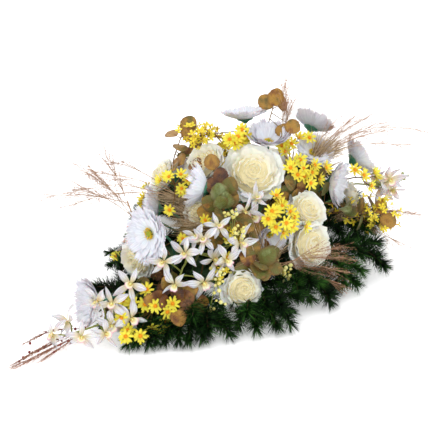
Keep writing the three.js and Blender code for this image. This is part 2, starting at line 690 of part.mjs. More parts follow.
// Cream roses
const ROSES = {
  rose_large: [{ at: [14, -82, 212], compass: 234, rise: 48, width: 108, layers: 4 }],
  rose_front_small: [{ at: [-110, -178, 62], compass: 244, rise: 30, width: 72, layers: 3 }],
  rose_right_upper: [{ at: [76, -160, 142], compass: 262, rise: 44, width: 76, layers: 3 }],
  rose_right_lower: [{ at: [57, -188, 90], compass: 268, rise: 20, width: 90, layers: 4 }],
  rose_left_low: [{ at: [-216, -22, 100], compass: 186, rise: 6, width: 72, layers: 3 }],
  rose_left_middle: [{ at: [-98, -58, 160], compass: 206, rise: 16, width: 60, layers: 3 }],
  rose_upper_left: [{ at: [-40, -10, 226], compass: 176, rise: 50, width: 80, layers: 3 }],
  rose_far_left: [{ at: [-88, 50, 196], compass: 150, rise: 34, width: 64, layers: 3 }],
  rose_head_right: [{ at: [234, -134, 106], compass: 312, rise: 14, width: 60, layers: 3 }],
  roses_back: [
    { at: [110, 104, 142], compass: 70, rise: 44, width: 94, layers: 4 },
    { at: [218, 62, 120], compass: 30, rise: 34, width: 88, layers: 3 },
  ],
};

// The other flowers and leaves: a main line from the foam, and a list of [x, y, z, compass, rise, turn].
const ORCHID = 29;
const ORCHIDS = {
  orchid_front: {
    line: [[-90, -36, 34], [-96, -46, 58], [-128, -88, 112], [-180, -104, 108], [-202, -112, 84]],
    rows: [
      [-184, -112, 138, 214, 22, 10], [-214, -118, 92, 222, 2, -20], [-170, -142, 88, 238, -6, 25],
      [-112, -120, 166, 232, 34, 0], [-146, -118, 152, 212, 40, 30], [-124, -150, 116, 250, 0, 5],
      [-88, -150, 134, 262, 24, -30],
    ],
  },
  orchid_tail: {
    line: [[-168, -22, 34], [-190, -30, 56], [-258, -66, 62], [-324, -64, 44], [-384, -34, 30]],
    rows: [
      [-272, -72, 98, 214, 30, -35], [-322, -70, 82, 206, 20, 20], [-326, -82, 46, 232, 12, 4],
      [-372, -60, 34, 228, 14, -10], [-373, -24, 48, 190, 26, 30], [-402, -22, 34, 196, 16, 60],
      [-296, -98, 52, 240, 6, 40],
    ],
  },
  orchid_middle: {
    line: [[-2, -38, 34], [-6, -46, 58], [-22, -92, 130], [-28, -108, 162]],
    rows: [[-22, -124, 188, 232, 40, 0], [-36, -130, 160, 244, -10, 60]],
  },
  orchid_head_right: {
    line: [[160, -30, 34], [172, -40, 58], [250, -122, 112], [276, -152, 118]],
    rows: [[284, -158, 132, 292, 20, 0], [296, -136, 112, 330, 4, 40]],
  },
  orchid_back: {
    line: [[-100, 28, 34], [-108, 38, 58], [-134, 58, 70], [-164, 36, 60]],
    rows: [
      [-126, 84, 88, 116, 34, 0], [-150, 70, 76, 122, 22, 40], [-164, 44, 82, 132, 40, -20],
      [-186, 28, 62, 140, 20, 15],
    ],
  },
};

const DAISY = 14;
const DAISIES = {
  daisy_centre: {
    line: [[16, -42, 34], [14, -50, 58], [4, -112, 126], [4, -132, 140]],
    rows: [
      [-22, -152, 168, 230, 40], [-4, -156, 166, 244, 46], [16, -150, 168, 262, 44],
      [28, -168, 148, 270, 20],
      [-8, -172, 150, 246, 14], [-28, -162, 144, 226, 10], [36, -178, 130, 280, 4], [10, -176, 140, 258, 6],
      [12, -140, 186, 240, 60],
    ],
  },
  daisy_upper: {
    line: [[84, -28, 34], [86, -34, 58], [98, -84, 166], [100, -98, 190]],
    rows: [
      [76, -132, 202, 244, 44], [96, -128, 206, 262, 52], [118, -130, 202, 280, 40],
      [96, -146, 184, 258, 18],
      [122, -144, 182, 286, 20], [66, -124, 216, 226, 50], [112, -66, 236, 240, 60],
      [126, -82, 232, 280, 56],
      [100, -80, 222, 236, 34],
    ],
  },
  daisy_left: {
    line: [[-62, 4, 34], [-66, 4, 58], [-98, -2, 176], [-108, -8, 204]],
    rows: [
      [-124, -12, 226, 200, 40], [-104, -20, 226, 222, 50], [-96, -28, 216, 236, 30],
      [-112, -30, 206, 214, 16],
      [-128, 6, 214, 160, 30], [-154, -44, 184, 206, 30],
    ],
  },
  daisy_tail: {
    line: [[-150, -26, 34], [-168, -36, 56], [-226, -90, 66], [-248, -102, 52]],
    rows: [
      [-276, -82, 66, 212, 40], [-262, -96, 64, 234, 30], [-250, -88, 84, 220, 56],
      [-214, -136, 40, 242, 12],
      [-226, -124, 62, 236, 40], [-290, -108, 26, 232, 20], [-270, -118, 30, 246, 10],
      [-244, -122, 34, 250, 16],
    ],
  },
  daisy_right: {
    line: [[158, -30, 34], [166, -36, 56], [212, -98, 118], [226, -138, 146], [236, -152, 148]],
    rows: [
      [226, -164, 160, 282, 30], [246, -168, 164, 300, 34], [262, -150, 160, 320, 30],
      [232, -178, 142, 280, 4],
      [210, -150, 168, 256, 46], [262, -168, 138, 312, 4], [258, -188, 108, 300, -10],
    ],
  },
  daisy_back: {
    line: [[-16, 38, 34], [-20, 48, 56], [-24, 112, 78], [-26, 138, 84]],
    rows: [
      [-44, 148, 98, 110, 34], [-22, 156, 104, 96, 40], [2, 152, 98, 80, 34], [-54, 142, 76, 124, 20],
      [-32, 164, 78, 100, 10], [-6, 164, 76, 84, 14],
    ],
  },
};

// Thin twigs set with small four-petalled yellow flowers, a few of them in pairs
const starlet = (end, grow) => trumpetHead(7.5, end, grow);
function starsAlong(points, count, seed) {
  const draw = seeded(seed);
  const curve = new THREE.CatmullRomCurve3(points.map((p) => vec(...p)));
  return Array.from({ length: count }, (_, i) => {
    const on = curve.getPointAt(0.3 + (0.7 * (i + 0.5)) / count);
    const place = on.addScaledVector(direction(360 * draw(), 80 * draw() - 10), 9 + 8 * draw());
    return hornOn(starlet, place);
  });
}

const TWIGS = {
  yellow_twig_left: {
    line: [[4, 20, 34], [4, 24, 58], [36, 16, 180], [34, 36, 242], [-26, 62, 254]],
    branch: [[30, 40, 240], [0, 22, 256], [-34, 20, 254]],
    counts: [11, 6],
    seed: 11,
  },
  yellow_twig_right: {
    line: [[132, -50, 34], [144, -62, 56], [216, -164, 98], [266, -212, 86]],
    branch: [[206, -150, 92], [236, -176, 66], [258, -206, 58]],
    counts: [7, 4],
    seed: 23,
  },
};

// Cream buds and small pale flowers, low at the front
const CREAM = {
  line: [[-52, -46, 34], [-60, -58, 56], [-106, -130, 92], [-146, -148, 84]],
  branches: [
    [[-76, -100, 70], [-34, -150, 76], [-20, -180, 62]],
    [[-66, -80, 66], [-78, -118, 116], [-92, -136, 146]],
  ],
  buds: [
    [-154, -164, 88], [-166, -154, 76], [-172, -164, 62], [-144, -152, 102], [-178, -160, 48],
    [-182, -150, 62],
    [-20, -192, 70], [-10, -196, 56], [-28, -198, 52], [-98, -138, 158], [-88, -148, 154],
    [-104, -142, 144],
  ],
  radius: 5.5,
};

// Round leaves of dried eucalyptus, brown, olive and pale green
const LEAF = { length: 30, width: 24 };
const LEAVES = {
  leaves_top: {
    line: [[96, -6, 34], [98, -10, 58], [108, -30, 230], [112, -36, 290]],
    rows: [
      [119, -37, 311, 225, 30, 1.1], [114, -72, 256, 240, 20], [142, -34, 290, 250, 20],
      [110, -22, 286, 230, 30, 1.1],
    ],
  },
  leaves_left: {
    line: [[-30, 24, 34], [-34, 30, 58], [-48, 62, 190], [-28, 60, 246]],
    rows: [
      [-8, 60, 268, 215, 30, 1.1], [-26, 44, 258, 225, 24], [-46, 42, 240, 240, 40],
      [-58, 32, 222, 225, 20],
      [-26, 86, 246, 100, 40],
    ],
  },
  leaves_centre: {
    line: [[-52, -28, 34], [-56, -36, 58], [-70, -84, 140], [-74, -94, 170]],
    rows: [
      [-84, -98, 192, 230, 30], [-60, -100, 192, 232, 44], [-90, -106, 172, 226, 20],
      [-54, -116, 160, 246, 30, 1.2],
      [-66, -122, 132, 240, 24, 1.2], [-92, -110, 146, 224, 20],
    ],
  },
  leaves_right: {
    line: [[104, -48, 34], [110, -62, 58], [140, -136, 124], [186, -172, 108], [232, -192, 90]],
    rows: [
      [134, -150, 160, 262, 30], [168, -178, 128, 272, 20], [118, -140, 166, 250, 40],
      [190, -190, 122, 290, 30],
      [196, -186, 80, 296, 0], [232, -184, 98, 300, 20, 1.2], [258, -196, 68, 312, 0, 1.2],
    ],
  },
  leaves_front: {
    line: [[-14, -52, 34], [-20, -64, 58], [-46, -150, 92], [-58, -166, 90]],
    rows: [
      [-70, -182, 96, 246, 40], [-78, -178, 76, 236, 20], [-44, -190, 84, 258, 30],
      [-38, -176, 106, 250, 50],
      [-24, -168, 96, 262, 40],
    ],
  },
  leaves_tail: {
    line: [[-126, -40, 34], [-140, -50, 56], [-200, -104, 72], [-216, -114, 62]],
    rows: [
      [-226, -102, 92, 226, 50], [-240, -104, 70, 222, 30], [-228, -134, 46, 240, 20],
      [-204, -132, 66, 246, 40, 1.1],
      [-184, -130, 76, 250, 44, 1.1], [-176, -142, 50, 252, 20], [-196, -148, 42, 250, 0],
    ],
  },
  leaves_back: {
    line: [[84, 44, 34], [90, 54, 56], [104, 132, 110], [116, 156, 128]],
    rows: [
      [112, 166, 152, 84, 40], [90, 174, 134, 96, 30], [138, 168, 134, 70, 30], [104, 184, 112, 86, 10],
      [138, 180, 108, 70, 0], [84, 150, 156, 100, 50], [134, 100, 92, 50, 50, 1.4],
      [156, 62, 90, 40, 60, 1.4],
      [160, 118, 104, 60, 30, 1.4],
    ],
  },
};

// Dried grass: a stem, and long wispy heads that fan out from it
const GRASS = { core: 1.4, needle: 20, sweep: 62, pitch: 34, bare: 0.28, every: 2, root: 0.6 };
const PLUMES = {
  grass_left: {
    line: [[-100, 12, 34], [-106, 14, 58], [-152, 40, 112], [-168, 50, 172]],
    tips: [[-266, 134, 188], [-212, 120, 226], [-166, 110, 248], [-232, 96, 204], [-186, 130, 214]],
  },
  grass_top: {
    line: [[122, -4, 34], [124, -8, 58], [136, -36, 200], [138, -40, 232]],
    tips: [[140, -38, 330], [128, -44, 318], [150, -46, 306]],
  },
  grass_head: {
    line: [[128, -16, 34], [134, -22, 58], [160, -70, 160], [172, -86, 190]],
    tips: [[352, -184, 204], [300, -140, 232], [270, -96, 240], [300, -196, 196], [236, -88, 250]],
  },
  grass_tail: {
    line: [[-184, 4, 34], [-206, 2, 52], [-300, -22, 26], [-362, -26, 16]],
    tips: [[-482, -16, 15], [-440, -38, 17], [-430, 4, 18]],
  },
  grass_right: {
    line: [[146, -44, 34], [158, -56, 56], [206, -148, 82], [216, -168, 84]],
    tips: [[312, -222, 66], [288, -186, 72], [260, -226, 40]],
  },
  grass_front: {
    line: [[16, -56, 34], [12, -68, 56], [-16, -160, 74], [-26, -184, 72]],
    tips: [[28, -272, 128], [44, -268, 100], [52, -262, 66], [40, -262, 44]],
  },
};

// Every piece in the order in which it claims its room: a later piece is cut clear of the earlier ones
const pieces = [];
const add = (name, colour, plan) => pieces.push({ name, colour, plan });

const WHITE = "#f3f1f4";
const CREAM_WHITE = "#f1ecd2";
const YELLOW = "#f0cf1c";
const PALE_YELLOW = "#efe08a";
const OLIVE = "#7d6a26";
const STRAW = "#a98a68";
const PINE_GREEN = "#1f4a25";
const FOAM_GREEN = "#5f7d54";

const rose = ({ width, layers, ...place }) => {
  const radius = width / 2;
  return { ...place, head: (grow) => roseHead(radius, layers, grow), back: radius * 0.54 };
};
const gerbera = ({ width, cup, ...place }) => {
  const radius = width / 2;
  return { ...place, head: (grow) => gerberaHead(radius, cup, grow), back: radius * 0.24 };
};
for (const [name, forms] of Object.entries(ROSES)) {
  add(name, CREAM_WHITE, blooms(forms.map(rose)));
}
for (const [name, forms] of Object.entries(GERBERAS)) {
  add(name, WHITE, blooms(forms.map(gerbera)));
}
for (const [name, { line, rows }] of Object.entries(ORCHIDS)) {
  const head = (end, grow) => orchidHead(ORCHID, end, grow);
  add(name, WHITE, spray({ line, radius: TWIG + 0.6, items: rows.map((row) => flowerOn(head, 22, row)) }));
}
for (const [name, { line, rows }] of Object.entries(DAISIES)) {
  const head = (end, grow) => daisyHead(DAISY, end, grow);
  add(name, YELLOW, spray({ line, items: rows.map((row) => flowerOn(head, 14, row)) }));
}
for (const [name, { line, rows }] of Object.entries(LEAVES)) {
  add(name, OLIVE, spray({ line, items: rows.map((row) => leafOn(LEAF, row)) }));
}
for (const [name, { line, branch, counts, seed }] of Object.entries(TWIGS)) {
  const items = [...starsAlong(line, counts[0], seed), ...starsAlong(branch, counts[1], seed + 1)];
  add(name, YELLOW, spray({ line, items, branches: [branch] }));
}
{
  const { line, branches, buds, radius } = CREAM;
  const bud = (end, grow) => budHead(radius, end, grow);
  const items = buds.map((place) => hornOn(bud, vec(...place)));
  add("cream_buds_front", PALE_YELLOW, spray({ line, items, branches }));
}
for (const [name, { line, tips }] of Object.entries(PLUMES)) {
  add(name, STRAW, spray({ line, radius: STEM + 0.4, items: tips.map((tip, i) => wispOn(GRASS, tip, i)) }));
}
PINE_BRANCHES.forEach((form, i) => {
  add(`pine_branch_${String(i + 1).padStart(2, "0")}`, PINE_GREEN, pineBranch(form));
});
add("foam_block", FOAM_GREEN, () => foamSlab);

const reaches = (a, b) => [0, 1, 2].every((k) => a.min[k] < b.max[k] && b.min[k] < a.max[k]);

const wreath = new THREE.Group();
wreath.name = "teardrop_wreath";
const claimed = [];
// How much of a solid lies in the room of the earlier pieces, in cubic millimetres.
const taken = (solid) => {
  const box = solid.boundingBox();
  return claimed
    .filter((other) => reaches(box, other.box))
    .reduce((sum, other) => sum + solid.intersect(other.room).volume(), 0);
};
for (const { name, colour, plan } of pieces) {
  const make = plan(taken);
  const whole = make(0);
  const box = whole.boundingBox();
  const near = claimed.filter((other) => reaches(box, other.box)).map((other) => other.room);
  const body = mainBody(near.length ? whole.subtract(fuse(near)) : whole);
  const room = make(CLEARANCE);
  claimed.push({ room, box: room.boundingBox() });
  const material = new THREE.MeshStandardMaterial({ color: colour, roughness: 0.85, metalness: 0 });
  const mesh = new THREE.Mesh(geometryOf(body), material);
  mesh.name = name;
  wreath.add(mesh);
}

export default wreath;
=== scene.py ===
# %% [markdown]
# # A teardrop wreath of silk flowers
#
# The real object is a grave spray. A block of dry foam lies flat on the table, forked pine branches stick
# out of its sides, and silk flowers, leaves and dried grass stand in it on wired stems. The solids of the
# CAD step give every bloom and branch its place, and this file dresses them. The first cell loads them as
# a fixed frame, and keeps their box, because the dressed wreath may not outgrow it.

# %% Load the frame
import math
import random

import bpy
import numpy as np
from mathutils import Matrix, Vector


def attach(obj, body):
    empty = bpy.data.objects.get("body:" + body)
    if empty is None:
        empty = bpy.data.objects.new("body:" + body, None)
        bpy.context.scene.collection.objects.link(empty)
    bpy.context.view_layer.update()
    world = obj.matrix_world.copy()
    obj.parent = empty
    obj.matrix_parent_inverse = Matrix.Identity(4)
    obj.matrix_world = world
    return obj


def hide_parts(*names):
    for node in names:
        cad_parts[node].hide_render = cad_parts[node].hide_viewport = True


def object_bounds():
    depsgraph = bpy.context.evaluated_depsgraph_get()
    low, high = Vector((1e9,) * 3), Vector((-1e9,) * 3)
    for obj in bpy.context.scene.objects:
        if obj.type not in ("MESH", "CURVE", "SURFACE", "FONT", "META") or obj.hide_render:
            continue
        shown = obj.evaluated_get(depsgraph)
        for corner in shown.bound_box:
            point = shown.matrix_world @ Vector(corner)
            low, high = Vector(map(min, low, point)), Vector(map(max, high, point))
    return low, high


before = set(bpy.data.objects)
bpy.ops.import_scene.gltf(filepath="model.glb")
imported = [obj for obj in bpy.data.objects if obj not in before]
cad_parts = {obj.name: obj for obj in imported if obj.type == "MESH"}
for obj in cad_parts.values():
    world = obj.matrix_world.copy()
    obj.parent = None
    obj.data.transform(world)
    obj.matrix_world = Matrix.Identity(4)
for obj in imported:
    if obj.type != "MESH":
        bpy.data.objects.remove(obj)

solid_box = [list(corner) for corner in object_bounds()]
print("solids reach from", solid_box[0], "to", solid_box[1], "metres")

# %% [markdown]
# ## The camera and the light
#
# The photograph is a bright catalogue picture: a white table without an edge, light from all round and
# only a faint shadow. A bright, even sky does most of that, and a pale floor comes in the last step. Three
# large, weak lamps, on the left, in front on the right and behind, give each petal a lighter side.

# %% Camera and lamps
stage = bpy.context.scene
TARGET = np.array([0.0, 0.0, 0.1])
# The photograph looks down by 28 degrees, from half way between -X and -Y.
VIEW_DIRECTION = np.array([-0.6243, -0.6243, 0.4695])
VIEW_DISTANCE = 2.3
LENS = 104.1
SKY_STRENGTH = 0.97


def looking_at(thing, place, at):
    """Puts a camera or lamp at a place and turns it to look at a point."""
    thing.location = place
    thing.rotation_euler = (Vector(at) - Vector(place)).to_track_quat("-Z", "Y").to_euler()
    stage.collection.objects.link(thing)


camera = bpy.data.objects.new("camera", bpy.data.cameras.new("camera"))
camera.data.sensor_width = 36
camera.data.lens = LENS
camera.data.clip_end = 50
looking_at(camera, TARGET + VIEW_DISTANCE * VIEW_DIRECTION, TARGET)
stage.camera = camera

# Name, place and width in metres, and power in watts.
for name, place, size, power in [
    ("key_lamp", (-1.9, -0.5, 2.3), 1.6, 17),
    ("fill_lamp", (0.8, -2.4, 1.9), 2.2, 14),
    ("back_lamp", (0.9, 1.9, 1.8), 1.8, 18),
]:
    lamp = bpy.data.objects.new(name, bpy.data.lights.new(name, "AREA"))
    lamp.data.size = size
    lamp.data.energy = power
    looking_at(lamp, place, TARGET)

sky = bpy.data.worlds.new("bright_room")
sky.use_nodes = True
sky.node_tree.nodes["Background"].inputs["Color"].default_value = (1.0, 1.0, 1.0, 1)
sky.node_tree.nodes["Background"].inputs["Strength"].default_value = SKY_STRENGTH
stage.world = sky
stage.view_settings.view_transform = "Standard"
print("camera at", [round(c, 3) for c in camera.location])

# %% [markdown]
# ## Gathering skins into pieces
#
# A gerbera has some seventy petals, and a pine branch seven thousand needles. One Blender object for each
# would be slow and hard to keep in order, so every CAD node gets one object. Its petals, stems and hairs
# are gathered as skins, each with its own finish. Every point also keeps its grain: where it lies across
# and along its petal, and a tone that differs from petal to petal. The finishes read the grain to place
# veins and shades, which then follow the petal wherever it points.

# %% One piece from many skins
MM = 0.001


class Piece:
    """Gathers the skins of one object, in millimetres."""

    def __init__(self):
        self.points, self.grain, self.faces, self.which, self.finishes = [], [], [], [], []
        self.count = 0

    def skin(self, points, faces, finish, grain):
        """Adds a closed skin, whose faces come as groups of triangles or quads."""
        if finish not in self.finishes:
            self.finishes.append(finish)
        for group in faces:
            self.faces.append(np.asarray(group) + self.count)
            self.which.append(np.full(len(group), self.finishes.index(finish)))
        self.points.append(points)
        self.grain.append(grain)
        self.count += len(points)

    def make(self, name, slot):
        """Makes the object, which rides on the wreath's one body, and counts its triangles."""
        mesh = bpy.data.meshes.new(name)
        mesh.vertices.add(self.count)
        mesh.vertices.foreach_set("co", (np.concatenate(self.points) * MM).ravel())
        sizes = np.concatenate([np.full(len(group), group.shape[1]) for group in self.faces])
        corners = np.concatenate([group.ravel() for group in self.faces])
        mesh.loops.add(len(corners))
        mesh.loops.foreach_set("vertex_index", corners.astype(np.int32))
        mesh.polygons.add(len(sizes))
        mesh.polygons.foreach_set("loop_start", (np.cumsum(sizes) - sizes).astype(np.int32))
        mesh.polygons.foreach_set("material_index", np.concatenate(self.which).astype(np.int32))
        mesh.update(calc_edges=True)
        mesh.shade_smooth()
        grain = mesh.attributes.new("grain", "FLOAT_VECTOR", "POINT")
        grain.data.foreach_set("vector", np.concatenate(self.grain).astype(np.float32).ravel())
        for finish in self.finishes:
            mesh.materials.append(finish)
        made = bpy.data.objects.new(name, mesh)
        stage.collection.objects.link(made)
        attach(made, "root")
        return made, int((sizes - 2).sum())


# %% [markdown]
# ## Sheets, rods and hairs
#
# Five skins make everything here. A sheet is a petal or leaf: a surface in two skins that meet along the
# rim, so that it is closed and thin, like stiffened silk. A rod follows a smooth line, for stems. A turned
# shape is spun like a pot, for eyes, cups and buds. Hairs are three-sided spikes with a bend in the middle,
# for stamens and grass, and needles are straight ones, the lightest of all. Both are made thousands at a
# time with arrays, because a loop in Python would take minutes for so many.

# %% Sheets
def grid_of(across, along):
    """The quads of a grid, row by row."""
    corner = np.arange((along - 1) * across).reshape(along - 1, across)[:, :-1].ravel()
    return np.stack([corner, corner + 1, corner + 1 + across, corner + across], axis=1)


def sheet(piece, place, surface, finish, tone, across=5, along=6, thick=0.5):
    """A closed petal or leaf over a surface of u from -1 to 1 across and v from 0 to 1 along."""
    u, v = np.meshgrid(np.linspace(-1, 1, across), np.linspace(0, 1, along))
    middle = surface(u, v)
    normal = np.cross(np.gradient(middle, axis=1), np.gradient(middle, axis=0))
    normal /= np.linalg.norm(normal, axis=2, keepdims=True) + 1e-9
    swell = np.zeros_like(u)
    swell[1:-1, 1:-1] = thick / 2
    raised = normal * swell[..., None]
    points = np.concatenate([(middle + raised).reshape(-1, 3), (middle - raised).reshape(-1, 3)])
    turn, at = place
    quads = grid_of(across, along)
    grain = np.stack([u, v, np.full_like(u, tone)], axis=-1).reshape(-1, 3)
    faces = [quads, quads[:, ::-1] + across * along]
    piece.skin(points @ turn.T + at, faces, finish, np.concatenate([grain, grain]))


# %% Places and lines
STEPS = 13  # points that are worked out for each span of a smooth line


def standing(x, y, z, compass, rise, turn=0):
    """A flower's turning and place: it faces a compass angle and rises above the table, in degrees."""
    a, e, t = math.radians(compass), math.radians(rise), math.radians(turn)
    forward = np.array([math.cos(a) * math.cos(e), math.sin(a) * math.cos(e), math.sin(e)])
    up = np.array([0, 0, 1.0]) - forward * forward[2]
    if up @ up < 0.01:
        up = np.array([1.0, 0, 0]) - forward * forward[0]
    up /= np.linalg.norm(up)
    side = np.cross(forward, up)
    columns = [up * math.cos(t) + side * math.sin(t), side * math.cos(t) - up * math.sin(t), forward]
    return np.stack(columns, axis=1), np.array([x, y, z], float)


def smooth_line(points, count):
    """Points at even distances on a smooth curve through the given ones."""
    p = np.asarray(points, float)
    p = np.vstack([2 * p[0] - p[1], p, 2 * p[-1] - p[-2]])
    reach = np.linalg.norm(np.diff(p, axis=0), axis=1) ** 0.5
    run = []
    for i in range(1, len(p) - 2):
        before, span, after = reach[i - 1:i + 2]
        leave = (p[i] - p[i - 1]) / before - (p[i + 1] - p[i - 1]) / (before + span)
        enter = (p[i + 2] - p[i + 1]) / after - (p[i + 2] - p[i]) / (span + after)
        leave, enter = [way * span + p[i + 1] - p[i] for way in (leave, enter)]
        t = np.linspace(0, 1, STEPS)[:, None]
        curve = (2 * t**3 - 3 * t**2 + 1) * p[i] + (t**3 - 2 * t**2 + t) * leave
        run.append(curve + (3 * t**2 - 2 * t**3) * p[i + 1] + (t**3 - t**2) * enter)
    run = np.vstack(run)
    far = np.concatenate([[0], np.cumsum(np.linalg.norm(np.diff(run, axis=0), axis=1))])
    wanted = np.linspace(0, far[-1], count)
    return np.stack([np.interp(wanted, far, run[:, k]) for k in range(3)], axis=1)


def length_of(line):
    return float(np.linalg.norm(np.diff(line, axis=0), axis=1).sum())


# %% Rods and turned shapes
# Directions that nothing here points in, for finding one across a line.
ASLANT, OBLIQUE = [0.3, 0.5, 0.81], [0.31, 0.57, 0.76]
ROOT_DOME, TIP_DOME = 0.4, 0.6  # how far a rod's ends bulge out, as shares of its radius


def rings_joined(sides, rings):
    """The quads between rings of points, and the fans that close both ends."""
    i = np.arange(sides)
    j = (i + 1) % sides
    quads = [np.stack([i, j, j + sides, i + sides], axis=1) + k * sides for k in range(rings - 1)]
    foot, tip = rings * sides, rings * sides + 1
    last = (rings - 1) * sides
    foot_fan = np.stack([j, i, np.full(sides, foot)], axis=1)
    tip_fan = np.stack([i + last, j + last, np.full(sides, tip)], axis=1)
    return [np.concatenate(quads), np.concatenate([foot_fan, tip_fan])]


def rod(piece, line, radius, finish, tone=0.5, sides=6):
    """A stem along a line. The radius is one number, or one at each end."""
    line = np.asarray(line, float)
    count = len(line)
    tangent = np.gradient(line, axis=0)
    tangent /= np.linalg.norm(tangent, axis=1, keepdims=True) + 1e-9
    spoke = np.cross(tangent[0], ASLANT)
    radii = np.linspace(*(radius if isinstance(radius, tuple) else (radius, radius)), count)
    rings = []
    angles = np.arange(sides) * math.tau / sides
    cosines, sines = np.cos(angles)[:, None], np.sin(angles)[:, None]
    for k in range(count):
        spoke = spoke - tangent[k] * (spoke @ tangent[k])
        spoke /= np.linalg.norm(spoke)
        other = np.cross(tangent[k], spoke)
        rings.append(line[k] + radii[k] * (cosines * spoke + sines * other))
    foot = line[:1] - tangent[:1] * radii[0] * ROOT_DOME
    tip = line[-1:] + tangent[-1:] * radii[-1] * TIP_DOME
    points = np.vstack(rings + [foot, tip])
    along = np.repeat(np.linspace(0, 1, count), sides)
    across = np.tile(np.linspace(-1, 1, sides), count)
    grain = np.stack([across, along, np.full(len(along), tone)], axis=1)
    grain = np.vstack([grain, [[0, 0, tone], [0, 1, tone]]])
    piece.skin(points, rings_joined(sides, count), finish, grain)


def turned(piece, place, profile, finish, tone=0.5, sides=12, scallops=0, depth=0.0):
    """A turned shape round a flower's middle line, from its back to its front."""
    radius, height = np.array(profile, float).T
    angles = np.arange(sides) * math.tau / sides
    wave = 1 + depth * np.cos(scallops * angles)
    rings = [
        np.stack([r * wave * np.cos(angles), r * wave * np.sin(angles), np.full(sides, z)], axis=1)
        for r, z in zip(radius[1:-1], height[1:-1])
    ]
    points = np.vstack(rings + [[[0, 0, height[0]]], [[0, 0, height[-1]]]])
    turn, at = place
    along = np.append(np.repeat(np.linspace(0, 1, len(rings)), sides), [0, 1])
    grain = np.stack([np.zeros_like(along), along, np.full_like(along, tone)], axis=1)
    piece.skin(points @ turn.T + at, rings_joined(sides, len(rings)), finish, grain)


# %% Hairs and needles
FLOOR = 1.2  # the lowest that a hair or needle may reach above the table


def three_corners(aims, across):
    """Three directions round each aim, at right angles to it."""
    side = np.cross(aims, across)
    side /= np.linalg.norm(side, axis=1, keepdims=True)
    other = np.cross(aims, side)
    return [math.cos(a) * side + math.sin(a) * other for a in (0, math.tau / 3, 2 * math.tau / 3)]


def hairs(piece, roots, aims, lengths, finish, tones, thick=0.4, droop=0.0, belly=0.8):
    """Three-sided spikes. Each is bent down by droop times its length, and belly is its width half way."""
    roots, aims = np.asarray(roots, float), np.asarray(aims, float)
    aims = aims / np.linalg.norm(aims, axis=1, keepdims=True)
    lengths = np.broadcast_to(lengths, len(roots))[:, None]
    upright = np.abs(aims[:, 2:]) > 0.8
    corners = three_corners(aims, np.where(upright, [[1.0, 0, 0]], [[0, 0, 1.0]]))
    fall = np.array([0, 0, -1.0]) * droop * lengths
    middles = roots + aims * lengths * 0.5 + fall * 0.25
    tips = roots + aims * lengths + fall
    for places in (tips, middles):
        places[:, 2] = np.maximum(places[:, 2], FLOOR)
    low = [roots + thick * c for c in corners]
    high = [middles + belly * thick * c for c in corners]
    points = np.stack(low + high + [tips], axis=1).reshape(-1, 3)
    start = np.arange(len(roots))[:, None] * 7
    quads = np.concatenate([start + [i, (i + 1) % 3, 3 + (i + 1) % 3, 3 + i] for i in range(3)])
    ends = np.concatenate([start + [3 + i, 3 + (i + 1) % 3, 6] for i in range(3)] + [start + [2, 1, 0]])
    along = np.tile([0, 0, 0, 0.5, 0.5, 0.5, 1], len(roots))
    tone = np.repeat(np.broadcast_to(tones, len(roots)), 7)
    piece.skin(points, [quads, ends], finish, np.stack([np.zeros_like(along), along, tone], axis=1))
    return middles, tips


def needles(piece, roots, aims, lengths, finish, tones, thick):
    """Straight three-sided spikes, the lightest skin for many thousands of pine needles."""
    tips = roots + aims * lengths[:, None]
    tips[:, 2] = np.maximum(tips[:, 2], FLOOR)
    corners = [roots + thick * c for c in three_corners(aims, OBLIQUE)]
    points = np.stack(corners + [tips], axis=1).reshape(-1, 3)
    start = np.arange(len(roots))[:, None] * 4
    faces = np.concatenate([start + [i, (i + 1) % 3, 3] for i in range(3)] + [start + [2, 1, 0]])
    along = np.tile([0, 0, 0, 1], len(roots))
    grain = np.stack([np.zeros_like(along), along, np.repeat(tones, 4)], axis=1)
    piece.skin(points, [faces], finish, grain)


# %% [markdown]
# ## Finishes
#
# Silk petals are matt and a little see-through, with pleats pressed along them. Each finish starts from
# Blender's own surface shader, takes colours from the grain and from noise, and adds fine relief. A small
# recipe class keeps the node work short, so that a finish reads as a list of what goes into it.

# %% A recipe for finishes
def paint(code):
    """A colour as a painter writes it, such as f3f1f4, in Blender's linear numbers."""
    parts = [int(code[i:i + 2], 16) / 255 for i in (0, 2, 4)]
    return tuple(p / 12.92 if p < 0.04 else ((p + 0.055) / 1.055) ** 2.4 for p in parts) + (1,)


